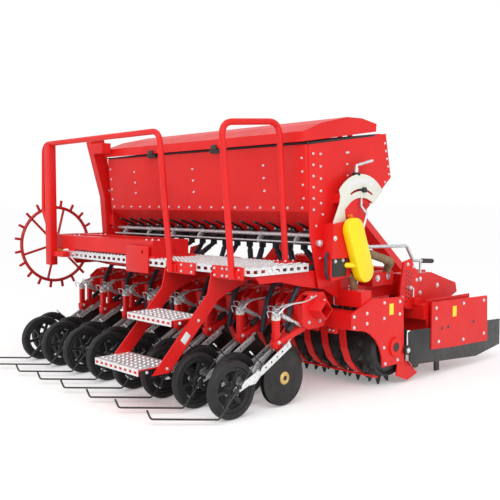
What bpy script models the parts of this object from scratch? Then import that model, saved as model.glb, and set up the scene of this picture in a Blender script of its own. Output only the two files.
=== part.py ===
"""Seed drill mounted on a power harrow with a tooth packer roller.

Machine axes while building: X across the machine, Y in the direction of travel, Z up, with the
ground at Z = 0, X = 0 in the middle of the hopper and Y = 0 at the rear press wheel axles.
At the end the empty "machine" moves everything so that the origin is under the box's middle.
"""
import math

import bmesh
import bpy
from mathutils import Matrix, Vector

# ---- driving dimensions (metres) ----
WORK_WIDTH = 2.5            # sown width
ROW_COUNT = 16              # seed rows, half of them on each coulter row
ROW_PITCH = WORK_WIDTH / ROW_COUNT
MESH_GAP = 0.0003           # between pieces that touch
RUN_GAP = 0.0005            # round a shaft that turns
TURN_STEPS = 12             # sides of a turned piece
EYE_SIDES = 8               # sides of a hole that a turned piece runs in

WHEEL_RADIUS = 0.165
WHEEL_WIDTH = 0.05
WHEEL_AXLE_RADIUS = 0.0095
DISC_RADIUS = 0.165
DISC_LIFT = 0.005           # discs' lowest point above the ground
DISC_SPREAD = 0.038         # over both disc rims
DISC_GAP = 0.030            # between the two discs
DISC_SPOOL_RADIUS = 0.042   # bearing that joins the two discs
DISC_TRAIL = 0.40           # disc axle in front of the press wheel axle
ROW_STAGGER = 0.16          # front coulter row in front of the rear one
POST_SIZE = 0.032
POST_TOP = 0.52
POST_FOOT = 0.36
POST_SETBACK = 0.05         # adjusting post behind the disc axle
WHEEL_ARM_THICKNESS = 0.005
WHEEL_ARM_WIDTH = 0.042
WHEEL_ARM_GAP = 0.0055      # beside the press wheel's hub
TINE_RADIUS = 0.006

CLAMP_WIDTH = 0.068         # block that holds a unit to the rail
RAIL_Y = 0.654
RAIL_Z = 0.558
RAIL_SIDE = 0.086
RAIL_WALL = 0.007
RAIL_ARM_X = (-0.72, -0.10, 0.80)
RAIL_LEFT = -1.30
RAIL_RIGHT = 1.22

ROLLER_Y = 1.27
DRUM_RADIUS = 0.195
TOOTH_RADIUS = 0.262
TOOTH_RING_THICKNESS = 0.012
ROLLER_HALF = 1.232
ROLLER_SHAFT_RADIUS = 0.03
SIDE_PLATE_X = 1.27
SIDE_PLATE_THICKNESS = 0.012
SCRAPER_WIDTH = 0.05
SCRAPER_THICKNESS = 0.010
SCRAPER_BEAM_Y = 0.885
SCRAPER_BEAM_Z = 0.473
SCRAPER_BEAM_DEPTH = 0.13
SCRAPER_BEAM_HEIGHT = 0.10

ROTOR_COUNT = 10
ROTOR_PITCH = WORK_WIDTH / ROTOR_COUNT
ROTOR_Y = 1.86
TINE_CIRCLE = 0.100
TINE_FOOT = 0.002           # tine points above the ground
TROUGH_BOTTOM = 0.30
TROUGH_TOP = 0.46
TROUGH_DEPTH = 0.36
TROUGH_HALF = 1.262
ROTOR_STUB_RADIUS = 0.025
ROTOR_STUB_HEIGHT = 0.03

BEAM_Y = 0.98               # drill frame's cross beam
BEAM_Z = 0.60
BEAM_SIDE = 0.10
HOPPER_HALF = 1.084         # to the end panels' inner faces
PANEL_THICKNESS = 0.006
SHEET = 0.004               # hopper and lid sheet
LID_HINGE_Y = 1.306
LID_HINGE_Z = 1.684
LID_HINGE_X = (-0.80, 0.0, 0.80)
LID_PIN_RADIUS = 0.006

PLATFORM_TOP = 0.835
PLATFORM_REAR = 0.15
PLATFORM_FRONT = 0.625
PLATFORM_LEFT = -1.04
PLATFORM_RIGHT = 1.10
PLATFORM_LIP = 0.05
PLATFORM_PLATE = 0.004
PLATFORM_BRACKET_X = (-0.985, -0.19, 0.27, 1.067)

LADDER_LEFT_X = 0.31
LADDER_RIGHT_X = 0.765
LADDER_PLATE = 0.010
STEP_DEPTH = 0.24
STEP_LIP = 0.035

RAIL_TUBE_RADIUS = 0.0195
RAIL_BEND = 0.08

STAR_X = -1.42
STAR_Y = 0.302
STAR_Z = 0.863
STAR_RIM_RADIUS = 0.300
STAR_SPIKE_RADIUS = 0.362
STAR_ROD_RADIUS = 0.011
STAR_SPIKES = 18
STAR_SPOKES = 6

# ---- colours: name -> (red, green, blue), roughness, metallic ----
FINISHES = {
    "red_paint": ((0.72, 0.012, 0.010), 0.35, 0.0),
    "dark_red_paint": ((0.36, 0.012, 0.012), 0.45, 0.0),
    "black_rubber": ((0.012, 0.012, 0.013), 0.75, 0.0),
    "black_steel": ((0.018, 0.018, 0.018), 0.45, 0.3),
    "zinc": ((0.62, 0.64, 0.66), 0.38, 0.9),
    "yellow_paint": ((0.90, 0.68, 0.0), 0.35, 0.0),
    "ivory_paint": ((0.78, 0.76, 0.68), 0.45, 0.0),
    "blue_black_rubber": ((0.02, 0.026, 0.045), 0.6, 0.0),
}

for old in list(bpy.data.objects):
    bpy.data.objects.remove(old)

PARTS = bpy.data.collections.new("seed_drill")
CUTTERS = bpy.data.collections.new("cutters")
for collection in (PARTS, CUTTERS):
    bpy.context.scene.collection.children.link(collection)
MACHINE = bpy.data.objects.new("machine", None)
PARTS.objects.link(MACHINE)


# ---- helpers ----
def material(finish, name):
    """A Principled material of its own for one node."""
    colour, roughness, metallic = FINISHES[finish]
    made = bpy.data.materials.new(name + "_" + finish)
    made.use_nodes = True
    shader = made.node_tree.nodes["Principled BSDF"]
    shader.inputs["Base Color"].default_value = (*colour, 1.0)
    shader.inputs["Roughness"].default_value = roughness
    shader.inputs["Metallic"].default_value = metallic
    made.diffuse_color = (*colour, 1.0)
    return made


def add(name, data, collection=CUTTERS, place=(0, 0, 0), turn=(0, 0, 0)):
    """Link a mesh or curve as an object."""
    made = bpy.data.objects.new(name, data)
    made.location = place
    made.rotation_euler = turn
    collection.objects.link(made)
    if collection is CUTTERS:
        made.hide_render = True
        made.display_type = "WIRE"
    return made


def box(centre, size, turn=(0, 0, 0)):
    """A block with its true size in its mesh."""
    mesh = bpy.data.meshes.new("box")
    bm = bmesh.new()
    bmesh.ops.create_cube(bm, size=1.0)
    bmesh.ops.scale(bm, vec=size, verts=bm.verts)
    bm.to_mesh(mesh)
    bm.free()
    return add("box", mesh, place=centre, turn=turn)


def span(x_range, y_range, z_range):
    """A block between two values along each axis."""
    ranges = (x_range, y_range, z_range)
    return box([sum(r) / 2 for r in ranges], [r[1] - r[0] for r in ranges])


def bar(start, end, width, height):
    """A straight flat or square bar between two points, its height in the upright plane."""
    start, end = Vector(start), Vector(end)
    made = box((start + end) / 2, (width, height, (end - start).length))
    made.rotation_euler = (end - start).to_track_quat("Z", "Y").to_euler()
    return made


def rod(start, end, radius, sides=8):
    """A round bar between two points."""
    start, end = Vector(start), Vector(end)
    mesh = bpy.data.meshes.new("rod")
    bm = bmesh.new()
    bmesh.ops.create_cone(bm, cap_ends=True, segments=sides, radius1=radius, radius2=radius,
                          depth=(end - start).length)
    bm.to_mesh(mesh)
    bm.free()
    turn = (end - start).to_track_quat("Z", "Y").to_euler()
    return add("rod", mesh, place=(start + end) / 2, turn=turn)


def as_mesh(curve_object):
    """Turn a curve object into a welded mesh object in the same place."""
    bpy.context.view_layer.update()
    graph = bpy.context.evaluated_depsgraph_get()
    mesh = bpy.data.meshes.new_from_object(curve_object.evaluated_get(graph))
    bm = bmesh.new()
    bm.from_mesh(mesh)
    bmesh.ops.remove_doubles(bm, verts=bm.verts, dist=0.00001)
    bmesh.ops.dissolve_degenerate(bm, edges=bm.edges, dist=0.00001)
    bm.to_mesh(mesh)
    bm.free()
    made = add(curve_object.name, mesh)
    made.matrix_world = curve_object.matrix_world.copy()
    bpy.data.objects.remove(curve_object)
    return made


def plate(outline, x, thickness):
    """A flat plate across X from its (y, z) outline."""
    curve = bpy.data.curves.new("plate", "CURVE")
    curve.dimensions = "2D"
    curve.fill_mode = "BOTH"
    curve.extrude = thickness / 2
    spline = curve.splines.new("POLY")
    spline.points.add(len(outline) - 1)
    for point, (y, z) in zip(spline.points, outline):
        point.co = (y, z, 0, 1)
    spline.use_cyclic_u = True
    return as_mesh(add("plate", curve, place=(x, 0, 0), turn=(math.pi / 2, 0, math.pi / 2)))


def wire(points, radius, sides_setting=1):
    """A bent round bar or hose along its points."""
    curve = bpy.data.curves.new("wire", "CURVE")
    curve.dimensions = "3D"
    curve.bevel_depth = radius
    curve.bevel_resolution = sides_setting
    curve.use_fill_caps = True
    spline = curve.splines.new("POLY")
    spline.points.add(len(points) - 1)
    for point, place in zip(spline.points, points):
        point.co = (*place, 1)
    return as_mesh(add("wire", curve))


def rounded(corners, radius, steps=3):
    """Points along a path whose inner corners are rounded."""
    corners = [Vector(c) for c in corners]
    path = [corners[0]]
    for before, corner, after in zip(corners, corners[1:], corners[2:]):
        back = (before - corner).normalized()
        on = (after - corner).normalized()
        half = back.angle(on) / 2
        reach = min(radius / math.tan(half), 0.45 * (before - corner).length,
                    0.45 * (after - corner).length)
        start, end = corner + back * reach, corner + on * reach
        for step in range(steps + 1):
            t = step / steps
            path.append(start * (1 - t) ** 2 + corner * 2 * t * (1 - t) + end * t ** 2)
    path.append(corners[-1])
    return path


def turned(half_profile, mirrored=True):
    """A body of revolution about X from (radius, x) pairs that run from +X to -X."""
    profile = list(half_profile)
    if mirrored:
        profile += [(radius, -x) for radius, x in reversed(half_profile)]
    closed = profile[0][0] > 0
    mesh = bpy.data.meshes.new("turned")
    bm = bmesh.new()
    points = [bm.verts.new((radius, 0, x)) for radius, x in profile]
    for one, two in zip(points, points[1:]):
        bm.edges.new((one, two))
    if closed:
        bm.edges.new((points[-1], points[0]))
    bm.to_mesh(mesh)
    bm.free()
    guide = add("turned", mesh)
    screw = guide.modifiers.new("Screw", "SCREW")
    screw.steps = TURN_STEPS
    screw.render_steps = TURN_STEPS
    screw.use_merge_vertices = True
    screw.merge_threshold = 0.00001
    screw.use_normal_calculate = False
    made = settled(guide)
    made.rotation_euler = (0, math.pi / 2, 0)
    return made


def settled(thing):
    """Replace an object by one that holds its evaluated mesh, facing out."""
    bpy.context.view_layer.update()
    graph = bpy.context.evaluated_depsgraph_get()
    mesh = bpy.data.meshes.new_from_object(thing.evaluated_get(graph))
    bm = bmesh.new()
    bm.from_mesh(mesh)
    bmesh.ops.remove_doubles(bm, verts=bm.verts, dist=0.00001)
    bmesh.ops.dissolve_degenerate(bm, edges=bm.edges, dist=0.00001)
    bmesh.ops.recalc_face_normals(bm, faces=bm.faces)
    bm.to_mesh(mesh)
    bm.free()
    made = add(thing.name, mesh)
    made.matrix_world = thing.matrix_world.copy()
    bpy.data.objects.remove(thing)
    return made


def fused(pieces, holes=()):
    """One closed body from overlapping pieces, less its holes."""
    group = bpy.data.collections.new("union")
    CUTTERS.children.link(group)
    body = pieces[0]
    for piece in pieces[1:]:
        group.objects.link(piece)
    if len(pieces) > 1:
        union = body.modifiers.new("Union", "BOOLEAN")
        union.operation = "UNION"
        union.solver = "EXACT"
        union.operand_type = "COLLECTION"
        union.collection = group
    for hole in holes:
        cut = body.modifiers.new("Cut", "BOOLEAN")
        cut.operation = "DIFFERENCE"
        cut.solver = "EXACT"
        cut.object = hole
    done = settled(body)
    for used in list(pieces[1:]) + list(holes):
        bpy.data.objects.remove(used)
    CUTTERS.children.unlink(group)
    bpy.data.collections.remove(group)
    return done


def node(name, thing, finish, origin=(0, 0, 0), mesh=None):
    """Make the named node, with its origin where it turns."""
    bpy.context.view_layer.update()
    if mesh is None:
        mesh = thing.data
        mesh.transform(Matrix.Translation(-Vector(origin)) @ thing.matrix_world)
        bpy.data.objects.remove(thing)
    mesh.name = name
    made = bpy.data.objects.new(name, mesh)
    made.location = origin
    made.parent = MACHINE
    PARTS.objects.link(made)
    if not mesh.materials:
        mesh.materials.append(material(finish, name))
    mesh.shade_smooth()
    mesh.set_sharp_from_angle(angle=math.radians(35))
    return made


def repeated(name, first, origin, turn=0.0):
    """Another node that shares a mesh, with its own material."""
    made = bpy.data.objects.new(name, first.data)
    made.location = origin
    made.rotation_euler = (0, 0, turn)
    made.parent = MACHINE
    PARTS.objects.link(made)
    own = first.data.materials[0].copy()
    own.name = name + "_finish"
    made.material_slots[0].link = "OBJECT"
    made.material_slots[0].material = own
    return made


def both_sides(maker):
    """The same piece at +X and -X."""
    return [maker(1), maker(-1)]


# ---- coulters ----
REAR_X = [(unit - (ROW_COUNT / 2 - 1) / 2) * 2 * ROW_PITCH for unit in range(ROW_COUNT // 2)]
FRONT_X = [x - ROW_PITCH for x in REAR_X]
# row name, press wheel axle y, unit places
COULTER_ROWS = (
    ("rear", 0.0, REAR_X),
    ("front", ROW_STAGGER, FRONT_X),
)
DISC_Z = DISC_RADIUS + DISC_LIFT
ARM_X = WHEEL_WIDTH / 2 + 0.003 + WHEEL_ARM_GAP + WHEEL_ARM_THICKNESS / 2


def press_wheel_body():
    """Press wheel: hub, dished web and tyre in one turned body."""
    half = WHEEL_WIDTH / 2
    bore = clear(WHEEL_AXLE_RADIUS, TURN_STEPS)
    rim = WHEEL_RADIUS - 0.040
    return turned([
        (bore, half + 0.003),
        (0.034, half + 0.003),
        (rim - 0.006, 0.011),
        (rim, half),
        (WHEEL_RADIUS - 0.006, half),
        (WHEEL_RADIUS, half - 0.010),
    ])


def disc_pair_body():
    """Two opener discs on their spool."""
    return turned([
        (0.0, DISC_SPREAD / 2 + 0.010),
        (0.034, DISC_SPREAD / 2 + 0.010),
        (DISC_RADIUS, DISC_SPREAD / 2),
        (DISC_RADIUS, DISC_GAP / 2),
        (DISC_SPOOL_RADIUS, DISC_GAP / 2),
    ])


def strip(points, width):
    """The (y, z) outline of a bent flat bar of even width."""
    left, right = [], []
    points = [Vector(p) for p in points]
    for index, point in enumerate(points):
        before = points[max(index - 1, 0)]
        after = points[min(index + 1, len(points) - 1)]
        along = (after - before).normalized()
        side = Vector((-along.y, along.x)) * width / 2
        left.append(tuple(point + side))
        right.append(tuple(point - side))
    return left + right[::-1]


def clear(radius, sides):
    """The radius of a hole with flat sides that a round of this radius turns in."""
    return (radius + RUN_GAP) / math.cos(math.pi / sides)


def circle(y, z, radius, steps=12):
    """The outline of a round plate."""
    return [(y + radius * math.cos(2 * math.pi * i / steps),
             z + radius * math.sin(2 * math.pi * i / steps)) for i in range(steps)]


def coulter_unit(axle_y, with_tine):
    """What carries one press wheel and one pair of discs, at X = 0."""
    disc_y = axle_y + DISC_TRAIL
    post_y = disc_y - POST_SETBACK
    eye = clear(DISC_SPOOL_RADIUS, EYE_SIDES)
    clamp_y = RAIL_Y - 0.02
    pieces = [
        span((-POST_SIZE / 2, POST_SIZE / 2), (post_y - 0.018, post_y + 0.018), (POST_FOOT, POST_TOP)),
        bar((0, post_y - 0.01, 0.388), (0, clamp_y - 0.06, 0.452), 0.050, 0.032),
        plate(circle(disc_y, DISC_Z, eye + 0.014, EYE_SIDES), 0, 0.014),
        plate([(post_y, 0.40), (disc_y + 0.045, 0.385), (disc_y + 0.03, DISC_Z + eye),
               (disc_y - 0.03, DISC_Z + eye)], 0, 0.012),
        span((-ARM_X, ARM_X), (post_y + 0.052, post_y + 0.068), (0.354, 0.370)),
        rod((-ARM_X, axle_y, WHEEL_RADIUS), (ARM_X, axle_y, WHEEL_RADIUS), WHEEL_AXLE_RADIUS, 6),
    ]
    arm = strip([(post_y + 0.085, 0.372), (axle_y + 0.20, 0.243), (axle_y - 0.005, WHEEL_RADIUS - 0.002)],
                WHEEL_ARM_WIDTH)
    for side in (-1, 1):
        pieces.append(plate(arm, side * ARM_X, WHEEL_ARM_THICKNESS))
    pieces.append(plate([
        (clamp_y - 0.09, 0.46), (clamp_y - 0.10, 0.60), (clamp_y + 0.02, 0.66),
        (clamp_y + 0.10, 0.655), (clamp_y + 0.17, 0.56), (clamp_y + 0.10, 0.44)], 0, CLAMP_WIDTH))
    if with_tine:
        tine_x = ARM_X + WHEEL_ARM_THICKNESS / 2 + TINE_RADIUS - 0.002
        pieces.append(wire([
            (tine_x, axle_y + 0.02, WHEEL_RADIUS + 0.018),
            (tine_x, axle_y - 0.13, 0.032),
            (-0.205, axle_y - 0.40, 0.036),
            (-0.235, axle_y - 0.405, 0.080)], TINE_RADIUS, 0))
    hole = rod((-0.1, disc_y, DISC_Z), (0.1, disc_y, DISC_Z), eye, EYE_SIDES)
    return fused(pieces, [hole])


def coulter_bank():
    """The coulter rail with all its units and the arms that hold it to the drill's frame."""
    side = RAIL_SIDE
    turn = (math.pi / 4, 0, 0)
    middle = (RAIL_LEFT + RAIL_RIGHT) / 2
    length = RAIL_RIGHT - RAIL_LEFT
    pieces = [box((middle, RAIL_Y, RAIL_Z), (length, side, side), turn)]
    for row, axle_y, places in COULTER_ROWS:
        unit = coulter_unit(axle_y, row == "rear")
        for x in places:
            copy = add("unit", unit.data.copy(), place=(x, 0, 0))
            copy.data.transform(unit.matrix_basis)
            pieces.append(copy)
        bpy.data.objects.remove(unit)
    for x in RAIL_ARM_X:
        pieces.append(span((x - 0.04, x + 0.04), (RAIL_Y + 0.03, BEAM_Y - BEAM_SIDE / 2 - MESH_GAP),
                           (RAIL_Z - 0.025, RAIL_Z + 0.035)))
    inner = side - 2 * RAIL_WALL
    bore = box((middle, RAIL_Y, RAIL_Z), (length + 0.1, inner, inner), turn)
    return fused(pieces, [bore])


def build_coulters():
    """Wheels, discs and the bank that carries them."""
    wheel = None
    disc = None
    for row, axle_y, places in COULTER_ROWS:
        for number, x in enumerate(places, start=1):
            wheel_place = (x, axle_y, WHEEL_RADIUS)
            disc_place = (x, axle_y + DISC_TRAIL, DISC_Z)
            wheel_name = f"press_wheel_{row}_{number}"
            disc_name = f"opener_discs_{row}_{number}"
            if wheel is None:
                wheel = node(wheel_name, press_wheel_body(), "black_rubber")
                wheel.location = wheel_place
                disc = node(disc_name, disc_pair_body(), "black_steel")
                disc.location = disc_place
            else:
                repeated(wheel_name, wheel, wheel_place)
                repeated(disc_name, disc, disc_place)
    node("coulter_bank", coulter_bank(), "red_paint")


# ---- packer roller ----
def build_roller():
    """Drum with its tooth rings, the side plates that carry it and the scrapers."""
    centre_z = TOOTH_RADIUS
    profile = [(0.0, SIDE_PLATE_X + 0.02), (ROLLER_SHAFT_RADIUS, SIDE_PLATE_X + 0.02),
               (ROLLER_SHAFT_RADIUS, ROLLER_HALF), (DRUM_RADIUS, ROLLER_HALF)]
    for ring in range(ROW_COUNT):
        x = ((ROW_COUNT - 1) / 2 - ring) * ROW_PITCH
        half = TOOTH_RING_THICKNESS / 2
        profile += [(DRUM_RADIUS, x + half), (TOOTH_RADIUS, x + half),
                    (TOOTH_RADIUS, x - half), (DRUM_RADIUS, x - half)]
    profile += [(DRUM_RADIUS, -ROLLER_HALF), (ROLLER_SHAFT_RADIUS, -ROLLER_HALF),
                (ROLLER_SHAFT_RADIUS, -SIDE_PLATE_X - 0.02), (0.0, -SIDE_PLATE_X - 0.02)]
    roller = node("packer_roller", turned(profile, mirrored=False), "black_steel")
    roller.location = (0, ROLLER_Y, centre_z)

    corner_y, corner_z = 0.875, 0.145
    arc = [(corner_y + 0.268 * math.sin(a), corner_z + 0.268 * math.cos(a))
           for a in [math.radians(i * 15) for i in range(7)]]
    outline = [(0.817, 0.425)] + arc + [(1.375, 0.145), (1.358, 0.584), (1.032, 0.597), (0.821, 0.525)]
    foot = [(1.32, 0.16), (1.303, 0.062), (1.43, 0.014), (1.545, 0.045), (1.44, 0.14)]
    pieces = both_sides(lambda s: plate(outline, s * SIDE_PLATE_X, SIDE_PLATE_THICKNESS))
    inner = SIDE_PLATE_X - SIDE_PLATE_THICKNESS / 2
    pieces += both_sides(lambda s: plate(foot, s * (inner - 0.003), 0.008))
    pieces += both_sides(lambda s: rod((s * (SIDE_PLATE_X - 0.002), ROLLER_Y, centre_z),
                                       (s * (SIDE_PLATE_X + 0.018), ROLLER_Y, centre_z), 0.062, 16))
    pieces.append(box((0, SCRAPER_BEAM_Y, SCRAPER_BEAM_Z),
                      (2 * inner + 0.004, SCRAPER_BEAM_DEPTH, SCRAPER_BEAM_HEIGHT)))
    curve = []
    for step in range(5):
        share = step / 4
        angle = math.radians(158 + (237 - 158) * share)
        reach = 0.345 + (DRUM_RADIUS + 0.018 - 0.345) * share ** 0.8
        curve.append((ROLLER_Y + reach * math.cos(angle), centre_z + reach * math.sin(angle)))
    curve.insert(0, (SCRAPER_BEAM_Y + 0.03, SCRAPER_BEAM_Z - 0.03))
    scraper = strip(curve, SCRAPER_THICKNESS)
    for gap in range(ROW_COUNT - 1):
        x = (gap - (ROW_COUNT - 2) / 2) * ROW_PITCH
        pieces.append(plate(scraper, x, SCRAPER_WIDTH))
    bores = both_sides(lambda s: rod((s * (inner - 0.02), ROLLER_Y, centre_z),
                                     (s * (SIDE_PLATE_X + 0.05), ROLLER_Y, centre_z),
                                     clear(ROLLER_SHAFT_RADIUS, 16), 16))
    node("roller_frame", fused(pieces, bores), "red_paint")


# ---- power harrow ----
def rotor_body():
    """Tine carrier with two tines, at its own axis."""
    carrier_z = TROUGH_BOTTOM - 0.045
    pieces = [
        rod((0, 0, carrier_z - 0.012), (0, 0, TROUGH_BOTTOM - 0.006), 0.055, 8),
        rod((0, 0, carrier_z), (0, 0, TROUGH_BOTTOM + ROTOR_STUB_HEIGHT), ROTOR_STUB_RADIUS, 12),
        box((0, 0, carrier_z), (2 * TINE_CIRCLE + 0.01, 0.055, 0.03)),
    ]
    for side in (-1, 1):
        top = (side * (TINE_CIRCLE - 0.018), 0, carrier_z)
        foot = (side * (TINE_CIRCLE - 0.018), side * 0.012, TINE_FOOT)
        pieces.append(bar(top, foot, 0.014, 0.05))
    return fused(pieces)


def build_harrow():
    """Gear trough, gearbox, headstock, hitch, arms' brackets, side plates and deflectors."""
    rotor = None
    for number in range(1, ROTOR_COUNT + 1):
        place = ((number - (ROTOR_COUNT + 1) / 2) * ROTOR_PITCH, ROTOR_Y, 0)
        name = f"harrow_rotor_{number}"
        turn = math.radians(90 * (number % 2))
        if rotor is None:
            rotor = node(name, rotor_body(), "black_steel")
            rotor.location = place
            rotor.rotation_euler = (0, 0, turn)
        else:
            repeated(name, rotor, place, turn)

    rear, front = ROTOR_Y - TROUGH_DEPTH / 2, ROTOR_Y + TROUGH_DEPTH / 2
    pieces = [span((-TROUGH_HALF, TROUGH_HALF), (rear, front), (TROUGH_BOTTOM, TROUGH_TOP))]
    pieces.append(span((-TROUGH_HALF, TROUGH_HALF), (rear - 0.06, rear + 0.05), (0.40, 0.50)))
    pieces.append(span((-0.21, 0.21), (ROTOR_Y - 0.17, ROTOR_Y + 0.17), (TROUGH_TOP - 0.01, 0.74)))
    pieces.append(rod((0, ROTOR_Y, 0.63), (0, front + 0.11, 0.63), 0.030, 12))
    cross_y, cross_z = front + 0.06, 0.64
    pieces.append(span((-0.92, -0.10), (cross_y - 0.05, cross_y + 0.05), (cross_z - 0.05, cross_z + 0.05)))
    pieces.append(span((0.10, 0.92), (cross_y - 0.05, cross_y + 0.05), (cross_z - 0.05, cross_z + 0.05)))
    top_z = 1.13
    for side in (-1, 1):
        pieces.append(bar((side * 0.24, cross_y, top_z), (side * 0.74, cross_y, cross_z), 0.09, 0.09))
        pieces.append(span(sorted((side * 0.16, side * 0.28)), (front - 0.03, front + 0.035),
                           (0.40, cross_z)))
        pieces.append(plate([(front - 0.02, 0.33), (front + 0.27, 0.40), (front + 0.28, 0.52),
                             (cross_y + 0.04, cross_z + 0.03), (front - 0.02, cross_z + 0.03)],
                            side * 0.40, 0.016))
        pieces.append(plate([(front - 0.02, 0.33), (front + 0.27, 0.40), (front + 0.28, 0.52),
                             (cross_y + 0.04, cross_z + 0.03), (front - 0.02, cross_z + 0.03)],
                            side * 0.49, 0.016))
        pieces.append(rod((side * 0.36, front + 0.235, 0.46), (side * 0.53, front + 0.235, 0.46),
                          0.014))
        pieces.append(plate([(cross_y - 0.10, top_z - 0.05), (cross_y + 0.09, top_z - 0.06),
                             (cross_y + 0.11, top_z + 0.05), (cross_y - 0.08, top_z + 0.07)],
                            side * 0.05, 0.016))
        arm_x = 1.04
        pieces.append(plate([(rear - 0.05, TROUGH_TOP - 0.02), (rear - 0.05, 0.70), (rear + 0.24, 0.70),
                             (2.25, 0.60), (2.27, 0.53), (front - 0.02, TROUGH_TOP - 0.02)],
                            side * arm_x, 0.16))
        pieces.append(plate([(1.475, 0.52), (1.475, 0.60), (1.515, 0.80), (1.60, 0.815),
                             (1.69, 0.70), (1.69, 0.47), (1.56, 0.47)], side * 1.16, 0.014))
        pieces.append(span(sorted((side * 1.11, side * 1.20)), (1.60, 1.69), (0.50, 0.54)))
        pieces.append(plate([(1.653, 0.196), (1.653, 0.521), (2.392, 0.506), (2.406, 0.163),
                             (1.90, 0.18)], side * 1.300, 0.010))
        pieces.append(plate([(1.653, 0.30), (1.653, 0.535), (2.20, 0.535), (2.20, 0.30)],
                            side * 1.262, 0.010))
        pieces.append(span(sorted((side * 1.25, side * 1.30)), (1.72, 1.76), (0.42, 0.46)))
        pieces.append(span(sorted((side * 1.25, side * 1.30)), (2.10, 2.14), (0.42, 0.46)))
        pieces.append(plate([(1.41, 0.15), (1.397, 0.34), (1.43, 0.352), (2.605, 0.304),
                             (2.606, 0.110), (2.257, 0.065), (1.52, 0.116), (1.48, 0.095)],
                            side * 1.292, 0.008))
    pieces.append(span((-0.30, 0.30), (cross_y - 0.045, cross_y + 0.045), (top_z - 0.04, top_z + 0.045)))
    holes = [rod(((n - (ROTOR_COUNT - 1) / 2) * ROTOR_PITCH, ROTOR_Y, TROUGH_BOTTOM - 0.05),
                 ((n - (ROTOR_COUNT - 1) / 2) * ROTOR_PITCH, ROTOR_Y,
                  TROUGH_BOTTOM + ROTOR_STUB_HEIGHT + 0.006), clear(ROTOR_STUB_RADIUS, EYE_SIDES), EYE_SIDES)
             for n in range(ROTOR_COUNT)]
    node("harrow_frame", fused(pieces, holes), "red_paint")


# ---- drill frame and hopper ----
def build_drill_frame():
    """Cross beam, arms to the harrow, hopper feet and platform brackets."""
    low, high = BEAM_Z - BEAM_SIDE / 2, BEAM_Z + BEAM_SIDE / 2
    beam_half = SIDE_PLATE_X - SIDE_PLATE_THICKNESS / 2 - MESH_GAP
    rear, front = BEAM_Y - BEAM_SIDE / 2, BEAM_Y + BEAM_SIDE / 2
    harrow_rear = ROTOR_Y - TROUGH_DEPTH / 2 - 0.05 - MESH_GAP
    pieces = [span((-beam_half, beam_half), (rear, front), (low, high))]
    for side in (-1, 1):
        pieces.append(span(sorted((side * 0.92, side * 1.02)), (rear + 0.01, harrow_rear),
                           (low + 0.005, high - 0.005)))
        pieces.append(span(sorted((side * 0.94, side * 1.00)), (1.30, 1.56), (high - 0.02, high + 0.06)))
        pieces.append(span(sorted((side * (HOPPER_HALF - 0.05), side * (HOPPER_HALF - MESH_GAP))),
                           (rear + 0.01, front - 0.01), (high - 0.01, 0.95)))
    bracket_top = PLATFORM_TOP - PLATFORM_LIP - MESH_GAP
    for x in PLATFORM_BRACKET_X:
        pieces.append(plate([(PLATFORM_REAR + 0.05, bracket_top), (0.92, bracket_top),
                             (rear + 0.02, 0.64), (rear + 0.02, 0.58), (0.80, 0.66), (0.56, 0.70),
                             (0.42, 0.735), (0.24, 0.735)], x, 0.010))
    pieces.append(span((PLATFORM_BRACKET_X[0], PLATFORM_BRACKET_X[-1]), (0.51, 0.57), (0.715, 0.755)))
    node("drill_frame", fused(pieces), "red_paint")


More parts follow.
